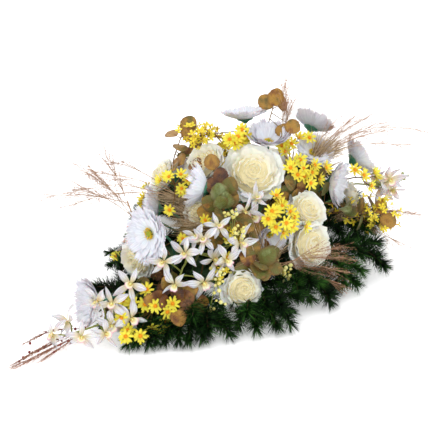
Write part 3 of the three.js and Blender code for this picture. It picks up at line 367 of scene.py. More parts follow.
class Recipe:
    """The nodes of one finish, which read the grain: across a petal, along it, and its tone."""

    def __init__(self, name, rough, **sockets):
        self.material = bpy.data.materials.new(name)
        self.material.use_nodes = True
        self.tree = self.material.node_tree
        self.shader = self.tree.nodes["Principled BSDF"]
        self.shader.inputs["Roughness"].default_value = rough
        for socket, value in sockets.items():
            self.shader.inputs[socket.replace("_", " ")].default_value = value
        reader = self.node("ShaderNodeAttribute", attribute_name="grain")
        parts = self.node("ShaderNodeSeparateXYZ", [reader.outputs["Vector"]])
        self.across, self.along, self.tone = parts.outputs
        self.grain = reader.outputs["Vector"]
        self.spot = self.node("ShaderNodeTexCoord").outputs["Object"]

    def node(self, kind, inputs=(), **settings):
        """Adds a node, whose inputs are numbers or the outputs of other nodes."""
        made = self.tree.nodes.new(kind)
        for key, value in settings.items():
            setattr(made, key, value)
        for socket, value in zip(made.inputs, inputs):
            if hasattr(value, "node"):
                self.tree.links.new(value, socket)
            elif value is not None:
                socket.default_value = value
        return made

    def sum(self, kind, a, b=None, c=None):
        """One step of arithmetic, with Blender's own word for its kind."""
        return self.node("ShaderNodeMath", [a, b, c], operation=kind).outputs[0]

    def steps(self, value, low, high):
        """How far a value has come from low to high, from 0 to 1."""
        return self.node("ShaderNodeMapRange", [value, low, high, 0.0, 1.0]).outputs[0]

    def noise(self, size, detail=3.0, at=None, stretch=None):
        """Noise through the whole object or, with the grain and a stretch, along each petal."""
        where = at or self.spot
        if stretch:
            where = self.node("ShaderNodeVectorMath", [where, stretch], operation="MULTIPLY").outputs[0]
        made = self.node("ShaderNodeTexNoise")
        self.tree.links.new(where, made.inputs["Vector"])
        made.inputs["Scale"].default_value = size
        made.inputs["Detail"].default_value = detail
        return made.outputs["Fac"]

    def mix(self, factor, a, b):
        """A colour from a at factor 0 to b at factor 1."""
        made = self.node("ShaderNodeMix", data_type="RGBA")
        for socket, value in zip([made.inputs[0], made.inputs[6], made.inputs[7]], [factor, a, b]):
            if hasattr(value, "node"):
                self.tree.links.new(value, socket)
            else:
                socket.default_value = value
        return made.outputs[2]

    def ramp(self, value, *stops):
        """Colours at places from 0 to 1, with smooth changes between them."""
        made = self.node("ShaderNodeValToRGB", [value])
        elements = made.color_ramp.elements
        for _ in stops[2:]:
            elements.new(0.5)
        for element, (place, code) in zip(elements, stops):
            element.position, element.color = place, paint(code)
        return made.outputs["Color"]

    def finish(self, colour, height=None, depth=0.3):
        """Ends the recipe with its colour and the relief of its surface, in millimetres."""
        self.tree.links.new(colour, self.shader.inputs["Base Color"])
        if height is not None:
            bump = self.node("ShaderNodeBump")
            bump.inputs["Distance"].default_value = depth * MM
            self.tree.links.new(height, bump.inputs["Height"])
            self.tree.links.new(bump.outputs["Normal"], self.shader.inputs["Normal"])
        return self.material


# %% [markdown]
# ### White and cream silk
#
# The gerberas are cool white, with pleats pressed along each petal and a hint of green at its foot. The
# roses are a warmer cream towards the heart, with painted shade that darkens the foot of each petal and the
# packed core, and a crinkled surface. The orchids carry fine grey veins. All veins are noise that is drawn
# out along the petal by the grain.

# %% Petal finishes
SILK = {"Subsurface_Weight": 0.2, "Subsurface_Scale": 0.005, "Sheen_Weight": 0.1}


def gerbera_silk():
    r = Recipe("gerbera_silk", 0.7, **SILK)
    pleats = r.noise(1.0, 2, r.grain, (9.0, 0.7, 31.0))
    foot = r.steps(r.along, 0.34, 0.02)
    white = r.mix(r.steps(pleats, 0.36, 0.62), paint("dedae3"), paint("f3f0f6"))
    colour = r.mix(r.sum("MULTIPLY", foot, 0.5), white, paint("cfd2a4"))
    return r.finish(colour, pleats, 0.7)


def rose_silk():
    r = Recipe("rose_silk", 0.65, **SILK)
    crinkle = r.noise(1.0, 3, r.grain, (4.0, 1.5, 23.0))
    cream = r.ramp(r.tone, (0.0, "fcfbf8"), (0.35, "fbf9ef"), (1.0, "faf4da"))
    # Painted shade: each petal darkens towards its foot, deep in the heart of the flower.
    heart_shade = r.mix(r.sum("MULTIPLY", r.steps(r.along, 0.85, 0.35), 0.6), cream, paint("dcc27c"))
    colour = r.mix(r.sum("MULTIPLY", r.steps(crinkle, 0.5, 0.3), 0.15), heart_shade, paint("e6dfc4"))
    return r.finish(colour, crinkle, 1.2)


def orchid_silk():
    r = Recipe("orchid_silk", 0.6, **SILK)
    veins = r.noise(1.0, 1, r.grain, (11.0, 0.5, 17.0))
    white = r.mix(r.steps(veins, 0.42, 0.58), paint("bfb9c0"), paint("f3f0f3"))
    foot = r.sum("MULTIPLY", r.steps(r.along, 0.55, 0.05), 0.85)
    return r.finish(r.mix(foot, white, paint("dcc97c")), veins, 0.8)


# The packed core of a rose is painted darker than its petals, as the shade deep among them.
def rose_shade():
    r = Recipe("rose_shade", 0.8)
    crinkle = r.noise(220, 3)
    return r.finish(r.mix(crinkle, paint("d8ca94"), paint("efe5c0")), crinkle, 1.0)


gerbera_petal, rose_petal, orchid_petal = gerbera_silk(), rose_silk(), orchid_silk()
rose_core_shade = rose_shade()
print("finishes so far:", len(bpy.data.materials))

# %% [markdown]
# ### Lips, eyes and yellow petals
#
# The orchid's lip runs from an orange throat by pale yellow to a pink edge. Daisies go from orange at the
# foot to clear yellow. The gerbera's eye is a green button, ringed with yellow stamens.

# %% Coloured finishes
def orchid_lip_silk():
    r = Recipe("orchid_lip_silk", 0.55, **SILK)
    speckle = r.steps(r.noise(420), 0.5, 0.62)
    orange, pale, cream = (0.02, "dba432"), (0.3, "ecd68e"), (0.75, "f2ead2")
    edge = r.ramp(r.along, orange, pale, cream, (0.88, "ecd2d2"), (1.0, "dd95a8"))
    colour = r.mix(r.sum("MULTIPLY", speckle, r.steps(r.along, 0.45, 0.05)), edge, paint("bf6f1a"))
    return r.finish(colour, r.noise(300), 0.3)


def yellow_silk(name, foot, tip):
    r = Recipe(name, 0.6, **SILK)
    pleats = r.noise(1.0, 2, r.grain, (6.0, 0.6, 29.0))
    along = r.mix(r.steps(r.along, 0.04, 0.44), paint(foot), paint(tip))
    shade = r.sum("MULTIPLY", r.tone, 0.45)
    return r.finish(r.mix(shade, along, paint("f3cd1a")), pleats, 0.6)


def grainy(name, rough, one, other, size, depth, **sockets):
    """A matt finish between two colours, with grit of a size and depth of its own."""
    r = Recipe(name, rough, **sockets)
    grit = r.noise(size, 4)
    tone = r.sum("ADD", r.sum("MULTIPLY", r.tone, 0.6), r.sum("MULTIPLY", r.steps(grit, 0.3, 0.7), 0.6))
    return r.finish(r.mix(tone, paint(one), paint(other)), grit, depth)


orchid_lip = orchid_lip_silk()
daisy_petal = yellow_silk("daisy_silk", "eba50c", "fbf04c")
star_petal = yellow_silk("star_silk", "e6b010", "f9e63c")
daisy_eye = grainy("daisy_eye", 0.8, "d97706", "f5a50d", 900, 0.6)
gerbera_eye = grainy("gerbera_eye", 0.8, "5f7d12", "a5a81e", 700, 0.6)
stamen_yellow = grainy("stamen_yellow", 0.8, "e8b60e", "f6dc3c", 500, 0.2)
bud_cream = grainy("bud_cream", 0.6, "dfc650", "f4eaa0", 300, 0.3, Subsurface_Weight=0.2)

# %% [markdown]
# ### Stems, leaves and grass
#
# Gerbera stems are blue-green plastic, orchid stems olive, and twigs brown. The pressed leaves run from
# olive to bronze in soft patches, darker at the edge, with a pale rib and side veins. Grass is a dry,
# pinkish tan. Pine needles are dark green plastic, and the lighter ones get paler to the tip.

# %% Green and brown finishes
# From grey-green over olive, dark olive, golden brown and bronze to dark red-brown.
LEAF_SHADES = [
    (0.0, "8e9a66"), (0.22, "646c26"), (0.42, "6a5a1c"),
    (0.62, "ae8028"), (0.8, "7c4a16"), (1.0, "3e1a0c"),
]


def leaf_finish():
    r = Recipe("pressed_leaf", 0.5, Sheen_Weight=0.1)
    side = r.sum("ABSOLUTE", r.across)
    slant = r.sum("ADD", r.sum("MULTIPLY", side, -0.3), r.along)
    ribs = r.sum("PINGPONG", slant, 0.07)
    veins = r.sum("MAXIMUM", r.steps(ribs, 0.012, 0.0), r.steps(side, 0.05, 0.0))
    patches = r.noise(70, 3)
    turned_brown = r.sum("ADD", r.tone, r.sum("MULTIPLY_ADD", patches, 0.9, -0.45))
    middle = r.ramp(turned_brown, *LEAF_SHADES)
    edge = r.mix(r.sum("MULTIPLY", r.steps(side, 0.55, 1.0), 0.55), middle, paint("6a3c10"))
    colour = r.mix(r.sum("MULTIPLY", veins, 0.2), edge, paint("a8965a"))
    return r.finish(colour, veins, 0.6)


def needle_finish():
    r = Recipe("pine_needle", 0.55, Specular_IOR_Level=0.12)
    green = r.mix(r.tone, paint("010c01"), paint("0f4208"))
    paler = r.sum("ADD", r.sum("MULTIPLY", r.along, 0.7), 0.2)
    light = r.sum("MULTIPLY", paler, r.steps(r.tone, 0.5, 1.0))
    return r.finish(r.mix(light, green, paint("68a644")), r.noise(600), 0.1)


leaf_face, pine_needle = leaf_finish(), needle_finish()
stem_teal = grainy("stem_teal", 0.5, "1c5a42", "4a8c6c", 250, 0.3)
stem_olive = grainy("stem_olive", 0.6, "6f7a2c", "9aa04e", 250, 0.3)
stem_green = grainy("stem_green", 0.6, "3f6a2a", "6c9243", 250, 0.3)
twig_brown = grainy("twig_brown", 0.8, "5e4420", "86652f", 300, 0.5)
pine_bark = grainy("pine_bark", 0.85, "3c2a18", "64482a", 260, 0.6)
grass_tan = grainy("grass_tan", 0.85, "9a7050", "cba684", 400, 0.2)
grass_seed = grainy("grass_seed", 0.85, "9a6248", "c89c7c", 500, 0.2)
straw_brown = grainy("straw_brown", 0.85, "80603a", "dcc4a0", 300, 0.3)
berry_red = grainy("berry_red", 0.4, "4e1014", "8a2a22", 300, 0.2)
twig_red = grainy("twig_red", 0.8, "6e3a24", "a5644a", 300, 0.4)
foam_green = grainy("foam_green", 0.95, "2f4a2b", "45663d", 500, 1.2)
print("finishes:", len(bpy.data.materials))

# %% [markdown]
# ## Gerberas
#
# A silk gerbera is stamped from three or four layers of fabric. Each layer is a ring of long petals with
# three small teeth at the tip, pleated along their length. The rings lie one in front of the other, the
# inner ones shorter and steeper, so the flower fills up. One petal is a sheet whose surface is written as
# distance out, distance to the side and height, and a loop lays it round the middle.

# %% One gerbera petal
draw = random.Random(7)  # the one source of all random numbers, so that every run makes the same wreath
EYE = 0.12  # where a petal starts, as a share of the flower's radius
WIDEST, REST = 0.66, 0.34  # where along its length a petal is widest, and the rest of its length
TOOTH = 0.05  # how deep the notches between its teeth are, as a share of its length


def laid(out, side, height, angle):
    """A surface that runs out from the middle of a flower, turned round it to an angle."""
    c, s = math.cos(angle), math.sin(angle)
    return np.stack([out * c - side * s, out * s + side * c, height], axis=-1)


def toothed_petal(radius, tip, width, cup, droop, twist, angle):
    """A petal with three teeth and three pleats, which rises with the cup and droops at its tip."""
    def surface(u, v):
        teeth = TOOTH * (1 - np.cos(3 * math.pi * u)) * v**5
        out = EYE * radius + (tip - EYE * radius) * v * (1 - teeth)
        wide = width * (0.3 + 0.7 * np.sin(math.pi / 2 * np.minimum(1, v / WIDEST)))
        wide = wide * (1 - 0.25 * np.maximum(0, (v - WIDEST) / REST) ** 2)
        height = cup * radius * (out / radius) ** 1.8 - droop * radius * v**3
        height = height + 0.09 * width * u**2 + 0.35 * np.cos(3 * math.pi * u) * v + twist * u * v
        return laid(out, wide * u, height, angle)

    return surface


# %% A whole gerbera
# The number of petals of each ring, how far they reach, and how much steeper than the cup they rise.
GERBERA_RINGS = [(22, 1.0, 1.0), (20, 0.92, 1.3), (17, 0.78, 1.7), (12, 0.58, 2.3)]
# Radius and height of the eye and of the green calyx behind the flower, on a flower of radius 1.
GERBERA_EYE = [(0, 0.02), (0.1, 0.03), (0.12, 0.07), (0.09, 0.11), (0.05, 0.125), (0, 0.13)]
GERBERA_CALYX = [
    (0, -0.16), (0.06, -0.15), (0.1, -0.11), (0.15, -0.07), (0.26, -0.045), (0.33, -0.02), (0.2, 0.0),
    (0, 0),
]


def scaled(profile, radius):
    return [(r * radius, z * radius) for r, z in profile]


def gerbera_head(piece, place, radius, cup):
    for ring, (count, reach, steep) in enumerate(GERBERA_RINGS):
        for k in range(count):
            angle = (k + ring / 2 + draw.uniform(-0.14, 0.14)) * math.tau / count
            tip = reach * radius * draw.uniform(0.88, 1.03)
            width = 0.8 * tip * math.pi / count * draw.uniform(1.15, 1.45)
            droop = draw.uniform(-0.04, 0.08)
            surface = toothed_petal(radius, tip, width, cup * steep, droop, draw.uniform(-2, 2), angle)
            sheet(piece, place, surface, gerbera_petal, draw.random(), across=7, along=7)
    turned(piece, place, scaled(GERBERA_EYE, radius), gerbera_eye, 0.4, sides=14)
    stamens(piece, place, 90, (0.08 * radius, 0.17 * radius), 0.09 * radius, 0.09 * radius, stamen_yellow)
    stamens(piece, place, 30, (0.02 * radius, 0.07 * radius), 0.12 * radius, 0.04 * radius, gerbera_eye)
    # The calyx follows the cup of the outer petals, 1 mm behind them.
    profile = [(r * radius, (z + cup * r**1.8) * radius - 1.0) for r, z in GERBERA_CALYX]
    turned(piece, place, profile, stem_teal, 0.4, sides=32, scallops=8, depth=0.08)


def stamens(piece, place, count, ring, height, length, finish):
    """Short hairs that stand in a ring and lean outwards."""
    turn, at = place
    angles = np.array([draw.uniform(0, math.tau) for _ in range(count)])
    radii = np.array([draw.uniform(*ring) for _ in range(count)])
    spokes = np.stack([np.cos(angles), np.sin(angles), np.zeros(count)], axis=1)
    roots = spokes * radii[:, None] + [0, 0, height * 0.7]
    lean = spokes * (radii / ring[1])[:, None] * 0.8 + [0, 0, 1]
    tones = [draw.random() for _ in range(count)]
    hairs(piece, roots @ turn.T + at, lean @ turn.T, length, finish, tones, 0.5, 0, 1.3)


# %% [markdown]
# Each flower's place repeats that of the CAD model, in millimetres and degrees. Its stem could be a list of
# points too, but one rule serves all of them: a stem starts inside the foam, leaves it at the flower's
# root, and bends so that it meets the back of the head nearly straight from behind. Only the second flower of
# a forked stem has a line of its own.

# %% The foam, and the stem of a flower
FOAM = {"tail": -236, "head": 228, "belly": 95, "half_width": 92, "height": 52}
STEM_DEPTH = 24  # how far a stem stands in the foam
STEM_RADIUS = 2.1
# The bend is a mean of two places: one straight behind the head, and one on the straight line to it.
# These are how far behind, how far along that line, and how much the second counts.
BEND_LEAD, BEND_ALONG, BEND_EASE = 0.35, 0.6, 0.55


def stem_line(place, depth, root):
    """The foot, root, bend and top of a stem that meets a head at some depth behind its middle."""
    facing = place[0][:, 2]
    top = place[1] - facing * depth
    root = np.array([*root, FOAM["height"]], float)
    length = np.linalg.norm(top - root)
    foot = root + (top - root) * -STEM_DEPTH / length
    foot[2] = max(foot[2], FOAM["height"] - STEM_DEPTH)
    straight = (1 - BEND_ALONG) * root + BEND_ALONG * top
    bend = (1 - BEND_EASE) * (top - facing * BEND_LEAD * length) + BEND_EASE * straight
    return np.round([foot, root, bend, top])


def stems(piece, lines, radius, finish):
    for line in lines:
        rod(piece, smooth_line(line, 14), radius, finish, draw.random(), sides=7)


# %% Places of the gerberas
# Place, compass, rise, width and cup, and then the place of the root.
GERBERAS = {
    "gerbera_left_front": [(-205, -50, 160, 182, 14, 104, 0.3, -119.1, -24)],
    "gerbera_left_back": [(-120, 20, 150, 138, 6, 88, 0.6, -64.2, 6.1)],
    "gerbera_centre_side": [(-78, -58, 202, 122, 10, 84, 0.75, -37, -32)],
    "gerbera_top_front": [(85, -52, 236, 225, 80, 86, 0.6, 71, -24.3)],
    "gerbera_top_back": [(86, 8, 264, 66, 74, 92, 0.4, 70, 2.7)],
    "gerbera_tail": [(-312, -30, 64, 164, 10, 92, 0.6, -174, -14.1)],
    "gerbera_head_top": [(204, -50, 226, 12, 42, 86, 0.55, 146, -25)],
    "gerbera_head_right": [(240, -126, 172, 340, 24, 90, 0.5, 160, -62)],
    "gerbera_right_low": [(160, -138, 160, 292, 0, 90, 0.55, 118, -61)],
    "gerbera_right_top": [(150, -102, 210, 256, 58, 80, 0.4, 114.85, -46.9)],
    "gerbera_centre_low": [(-10, -146, 122, 250, -8, 72, 0.5, 7.2, -66)],
    "gerberas_back": [(-68, 104, 88, 106, 30, 84, 0.4, -33, 46), (24, 138, 114, 88, 28, 88, 0.35)],
}
# Lines of the stems that branch off the stem of the flower beside them.
SIDE_STEMS = {
    "gerberas_back": [[(-36, 51, 55), (13, 98, 91), (24, 129, 109)]],
    "roses_back": [[(86, 48, 63), (167, 42, 87), (201, 52, 107)]],
}

# %% Make the gerberas
GERBERA_BACK = 0.24  # depth of the head behind its middle, as a share of its radius

total = 0


def done(piece, node, name, slot):
    """Makes a piece that stands for its CAD node, and adds up the triangles."""
    global total
    made, triangles = piece.make(name, slot)
    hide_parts(node)
    total += triangles
    print(name, triangles, "triangles")


for node, flowers in GERBERAS.items():
    piece = Piece()
    lines = []
    for x, y, z, compass, rise, width, cup, *root in flowers:
        place = standing(x, y, z, compass, rise)
        gerbera_head(piece, place, width / 2, cup)
        if root:
            lines.append(stem_line(place, GERBERA_BACK * width / 2, root))
    stems(piece, lines + SIDE_STEMS.get(node, []), STEM_RADIUS, stem_teal)
    done(piece, node, node + "_flower", "gerbera")

# %% [markdown]
# ## Roses
#
# A silk rose is wound from the heart outwards: small upright petals first, then wider ones that lean back
# further and roll their rims out. Each petal is a cupped sheet that starts at the base of the flower.
# Every petal of a ring lies over its neighbour on one side and under it on the other, like a spiral, so no
# two of them cut through each other.

# %% One rose petal
# Where the petals start: this far from the middle line and behind the middle, as shares of the radius.
ROSE_FOOT, ROSE_DEPTH = 0.1, 0.48


def rose_petal_surface(radius, rim, top, spread, curl, angle, ruffle):
    """A cupped petal, given in shares of the radius, whose rim rolls by the curl and waves by the ruffle."""
    lean = 0.13 * math.sin(5 * ruffle)

    def surface(u, v):
        rounded = v * (1 - 0.17 * np.abs(u) ** 2.6) * (1 - 0.05 * np.exp(-((u / 0.16) ** 2)) * v)
        out = ROSE_FOOT + (rim - ROSE_FOOT) * (1 - (1 - rounded) ** 2.1) + 0.075 * rim * u * rounded
        height = -ROSE_DEPTH + (top + ROSE_DEPTH) * rounded**1.9
        rolled = np.maximum(0, rounded - 0.68) / 0.32
        out = out + curl * rolled**2
        height = height - 0.55 * np.abs(curl) * rolled**2 + lean * u * rounded**2
        edge = rounded**4 * (0.3 + 0.7 * rim)
        out = out + 0.06 * np.sin(3.3 * math.pi * u + ruffle) * edge
        height = height + 0.07 * np.cos(2.6 * math.pi * u + 2 * ruffle) * edge
        turned_by = angle + u * spread * (0.3 + 0.7 * np.sin(math.pi / 2 * np.minimum(1, rounded / 0.6)))
        return radius * np.stack([out * np.cos(turned_by), out * np.sin(turned_by), height], axis=-1)

    return surface


# %% A whole rose
# The number of petals, radius and height of the rim, half the spread in degrees, and curl of each ring.
ROSE_RINGS = [
    (5, 0.92, -0.06, 50, 0.16),
    (5, 0.84, 0.08, 49, 0.15),
    (5, 0.73, 0.2, 48, 0.14),
    (5, 0.6, 0.29, 48, 0.12),
    (4, 0.46, 0.35, 56, 0.09),
    (4, 0.33, 0.37, 58, 0.06),
    (3, 0.21, 0.38, 72, 0.02),
    (2, 0.11, 0.37, 110, 0.0),
]
# Petals packed so tightly that they are not seen one by one: radius and height on a unit rose.
ROSE_CORE = [
    (0, -0.5), (0.5, -0.42), (0.72, -0.26), (0.74, -0.16), (0.66, -0.04), (0.52, 0.08), (0.36, 0.16),
    (0.18, 0.2), (0, 0.2),
]
ROSE_CALYX = [(0, -0.58), (0.06, -0.57), (0.15, -0.53), (0.2, -0.46), (0.14, -0.42), (0, -0.4)]


def rose_head(piece, place, radius):
    for ring, (count, rim, top, spread, curl) in enumerate(ROSE_RINGS):
        start = draw.uniform(0, math.tau)
        for k in range(count):
            angle = start + (k + draw.uniform(-0.16, 0.16)) * math.tau / count
            reach = rim * draw.uniform(0.92, 1.06)
            height = top + draw.uniform(-0.07, 0.05)
            half = math.radians(spread * draw.uniform(0.92, 1.1))
            bend = curl * draw.uniform(0.5, 1.5)
            surface = rose_petal_surface(radius, reach, height, half, bend, angle, draw.uniform(0, 6))
            tone = min(1, ring / 7 + draw.uniform(-0.08, 0.08))
            sheet(piece, place, surface, rose_petal, tone, across=11 if ring < 4 else 9, along=9)
    turned(piece, place, scaled(ROSE_CORE, radius), rose_core_shade, 0.7, sides=20)
    turned(piece, place, scaled(ROSE_CALYX, radius), stem_green)
    for k in range(5):
        surface = sepal(radius, k * math.tau / 5)
        sheet(piece, place, surface, stem_green, draw.random(), across=5, along=5, thick=0.6)


def sepal(radius, angle):
    """One of the five green leaves under a rose."""
    def surface(u, v):
        out = 0.1 + 0.62 * v
        height = -0.5 + 0.2 * v**2.1 - 0.03
        wide = 0.11 * (1 - v) ** 0.7 + 0.004
        return laid(out * radius, wide * u * radius, height * radius, angle)

    return surface


# %% Places of the roses
# Place, compass, rise and width, and then the place of the root.
ROSES = {
    "rose_large": [(14, -82, 212, 234, 48, 108, 29, -31.8)],
    "rose_front_small": [(-110, -178, 62, 244, 30, 72, -58, -55)],
    "rose_right_upper": [(76, -160, 142, 262, 44, 76, 65, -70)],
    "rose_right_lower": [(57, -188, 90, 268, 20, 90, 51.2, -74)],
    "rose_left_low": [(-216, -22, 100, 186, 6, 72, -121.8, -10)],
    "rose_left_middle": [(-98, -58, 160, 206, 16, 60, -45, -25)],
    "rose_upper_left": [(-40, -10, 226, 176, 50, 80, -6, -5)],
    "rose_far_left": [(-88, 50, 196, 150, 34, 64, -39, 21)],
    "rose_head_right": [(234, -134, 106, 312, 14, 60, 164, -59)],
    "roses_back": [(110, 104, 142, 70, 44, 94, 83, 41.8), (218, 62, 120, 30, 34, 88)],
}

# %% Make the roses
ROSE_BACK = 0.54  # depth of the head behind its middle, as a share of its radius

for node, flowers in ROSES.items():
    piece = Piece()
    lines = []
    for x, y, z, compass, rise, width, *root in flowers:
        place = standing(x, y, z, compass, rise)
        rose_head(piece, place, width / 2)
        if root:
            lines.append(stem_line(place, ROSE_BACK * width / 2, root))
    stems(piece, lines + SIDE_STEMS.get(node, []), STEM_RADIUS, stem_green)
    done(piece, node, node + "_flower", "rose")

# %% [markdown]
# ## Sprays
#
# Orchids, daisies, leaves, stars and buds sit on thin twigs. Each joins the nearest point of its twig with
# a stalk that leaves the back of the flower straight and then bends to the twig, as a wired stalk does.
# No stalk may start inside the foam, so the points of a twig there are left out.

# %% Stalks and twigs
ABOVE_FOAM, BESIDE_FOAM = 6, 4  # how far from the foam the first stalk of a twig may start
TWIG_POINTS = 60


def twig_points(lines):
    """Points all along the twigs of a spray, outside the foam."""
    points = np.vstack([smooth_line(line, TWIG_POINTS) for line in lines])
    above = points[:, 2] > FOAM["height"] + ABOVE_FOAM
    beside = np.abs(points[:, 1]) > FOAM["half_width"] + BESIDE_FOAM
    return points[above | beside | (points[:, 0] < FOAM["tail"] - BESIDE_FOAM)]


def stalk(piece, points, back, facing, radius, finish, sides=5):
    """A stalk from the nearest twig to the back of a flower, which it meets head on."""
    start = points[np.argmin(np.linalg.norm(points - back, axis=1))]
    reach = np.linalg.norm(back - start)
    bend = back - facing * 0.45 * reach
    t = np.linspace(0, 1, 6)[:, None]
    curve = (1 - t) ** 2 * start + 2 * t * (1 - t) * bend + t**2 * back
    rod(piece, curve, radius, finish, draw.random(), sides)


# %% [markdown]
# ## Orchids
#
# The silk orchid has five narrow petals round a tubular lip. The petals are pointed, bend backwards or
# forwards, each in its own way, and carry fine veins. The lip is a rolled sheet with a frilled rim, and a
# cream column stands over its mouth.

# %% One orchid flower
ORCHID_COLUMN = [(0, 0.02), (0.07, 0.03), (0.08, 0.12), (0.06, 0.22), (0.05, 0.27), (0, 0.28)]


def orchid_head(piece, place, radius):
    for k in range(5):
        angle = (k + draw.uniform(-0.22, 0.22)) * math.tau / 5
        width = radius * (0.235 if k in (1, 4) else 0.18) * draw.uniform(0.85, 1.15)
        bend, sway = draw.uniform(-0.7, 0.35), draw.uniform(-3, 3)
        surface = orchid_petal_surface(radius * draw.uniform(0.88, 1.14), width, bend, sway, angle)
        sheet(piece, place, surface, orchid_petal, draw.random(), across=7, along=8)
    lip = orchid_lip_surface(0.86 * radius, draw.uniform(0, 6))
    sheet(piece, place, lip, orchid_lip, draw.random(), across=9, along=8)
    turned(piece, place, scaled(ORCHID_COLUMN, radius), bud_cream, 0.7, sides=8)


def orchid_petal_surface(radius, width, bend, sway, angle):
    """A pointed petal that bends forward or, below 0, backward, and sways to one side."""
    def surface(u, v):
        out = radius * (0.05 + 0.95 * v)
        wide = width * np.sin(math.pi * (0.06 + 0.9 * v) ** 1.15) ** 0.75 * (1 - 0.45 * v**3)
        height = 0.24 * radius * (out / radius) ** 1.3 + bend * radius * v**2.2
        height = height - 0.5 * width * u**2 * v + 0.09 * radius * np.sin(4 * v + sway) * u
        return laid(out, (wide + 0.15) * u + sway * 0.05 * radius * v**2, height, angle)

    return surface


def orchid_lip_surface(radius, ruffle):
    """A sheet that is rolled to a tube, opens towards its rim and hangs down a little."""
    def surface(u, v):
        roll = u * np.radians(125 - 45 * v)
        tube = radius * (0.11 + 0.11 * v + 0.08 * v**3)
        forward = radius * (0.05 + 0.4 * v) + 0.05 * radius * np.sin(2.5 * math.pi * u + ruffle) * v**3
        down = -radius * (0.05 + 0.28 * v**1.6)
        return np.stack([down - tube * np.cos(roll) + tube, tube * np.sin(roll), forward], axis=-1)

    return surface


# %% [markdown]
# The orchids come first from the CAD model's places, and a few more close the gaps in between. The spray
# at the head ends in closed buds, little turned shapes on stalks of their own.

# %% One bud
# Radius and height of a bud of radius 1, a little pointed at its tip.
BUD = [(0, -1), (0.5, -0.85), (0.95, -0.3), (0.9, 0.4), (0.4, 1.0), (0, 1.2)]


def ball(piece, at, radius, finish, tone):
    """A bud that points in any direction but steeply down."""
    place = standing(*at, draw.uniform(0, 360), draw.uniform(-20, 80))
    turned(piece, place, scaled(BUD, radius), finish, tone, sides=8)


# %% Places of the orchids
# The line of each stem, and the place, compass, rise and turn of each flower.
ORCHIDS = {
    "orchid_front": ([
        (-90, -36, 34), (-96, -46, 58), (-128, -88, 112), (-180, -104, 108), (-202, -112, 84),
    ], [
        (-184, -112, 138, 214, 30, 10), (-214, -118, 92, 216, 2, -20), (-170, -142, 88, 246, -13, 25),
        (-112, -120, 166, 249, 45, 0), (-146, -118, 152, 222, 46, 30), (-124, -150, 116, 261, 0, 5),
        (-88, -150, 134, 275, 23, -30), (-216, -94, 127, 195, 10, 15), (-149, -101, 153, 220, 30, 50),
        (-132, -130, 113, 250, 0, 20),
    ]),
    "orchid_tail": ([
        (-150, -11, 34), (-172, -19, 56), (-249, -61, 62), (-324, -64, 44), (-384, -34, 30),
    ], [
        (-272, -72, 98, 214, 39, -35), (-318, -77, 82, 206, 28, 20), (-326, -82, 46, 234, 7, 4),
        (-372, -60, 34, 228, 8, -10), (-373, -24, 48, 169, 33, 30), (-402, -22, 34, 181, 14, 60),
        (-296, -98, 52, 244, 3, 40), (-344, -88, 40, 250, 20, 60), (-335, -60, 86, 190, 20, 40),
    ]),
    "orchid_middle": ([(-2, -38, 34), (-6, -46, 58), (-22, -92, 130), (-28, -108, 162)], [
        (-22, -124, 188, 244, 48, 0), (-36, -130, 160, 246, -6, 60), (-52, -124, 174, 250, -20, 50),
    ]),
    "orchid_head_right": ([(173, -6, 34), (185, -16, 58), (256, -110, 112), (276, -152, 118)], [
        (284, -158, 132, 296, 25, 0), (296, -136, 112, 336, 1, 40), (322, -150, 116, 245, 20, 20),
        (318, -166, 98, 235, -5, 50), (300, -170, 126, 238, 15, 10), (304, -150, 100, 250, 0, 70),
    ]),
    "orchid_back": ([(-100, 28, 34), (-108, 38, 58), (-134, 58, 70), (-164, 36, 60)], [
        (-126, 84, 88, 106, 35, 0), (-150, 70, 76, 122, 22, 40), (-164, 44, 82, 134, 50, -20),
        (-186, 28, 62, 159, 16, 15),
    ]),
}
ORCHID_BUDS = {
    "orchid_head_right": [(343, -173, 115), (332, -167, 106), (349, -177, 121), (338, -172, 128)],
}
BUD_WAY = np.array([0.6, -0.5, 0.6])  # where these buds point, outwards from the head and up

# %% Make the orchids
for node, (line, flowers) in ORCHIDS.items():
    piece = Piece()
    points = twig_points([line])
    for x, y, z, compass, rise, turn in flowers:
        aside = [draw.uniform(-9, 9) for _ in range(2)]
        place = standing(x, y, z, compass + aside[0], rise + aside[1], turn)
        facing = place[0][:, 2]
        orchid_head(piece, place, draw.uniform(26, 32))
        stalk(piece, points, place[1] - facing * 0.5, facing, (1.5, 1.1), stem_olive)
    for at in ORCHID_BUDS.get(node, []):
        ball(piece, at, draw.uniform(3, 4), stem_olive, draw.random())
        stalk(piece, points, np.array(at, float), BUD_WAY, (1.0, 0.7), stem_olive, sides=4)
    stems(piece, [line], (2.3, 1.5), stem_olive)
    done(piece, node, node + "_spray", "orchid")

# %% [markdown]
# ## Daisies
#
# The yellow daisies are only about 28 mm wide, and those on the left 23 mm. Two rings of narrow petals with
# a notch in the tip stand round an orange button, some flowers more closed than others. At this size a
# petal needs only a few faces.

# %% One daisy
DAISY_RINGS = [(8, 1.05, 0.3), (7, 0.85, 0.6)]  # petals, reach and cup
DAISY_EYE = [(0, 0.0), (0.2, 0.04), (0.24, 0.14), (0.17, 0.23), (0.08, 0.27), (0, 0.28)]
DAISY_CUP = [(0, -0.2), (0.1, -0.18), (0.2, -0.02), (0.16, 0.02), (0, 0.02)]


def narrow_petal(radius, width, cup, angle):
    """A petal with a notch in its tip, for daisies and stars."""
    def surface(u, v):
        out = radius * (0.1 + 0.9 * v * (1 - 0.1 * (1 - np.abs(u)) * v**4))
        wide = width * (0.35 + 0.65 * np.sin(math.pi / 2 * np.minimum(1, v / 0.6))) * (1 - 0.5 * v**4)
        height = cup * radius * (out / radius) ** 1.3 + 0.15 * width * u**2
        return laid(out, wide * u, height, angle)

    return surface


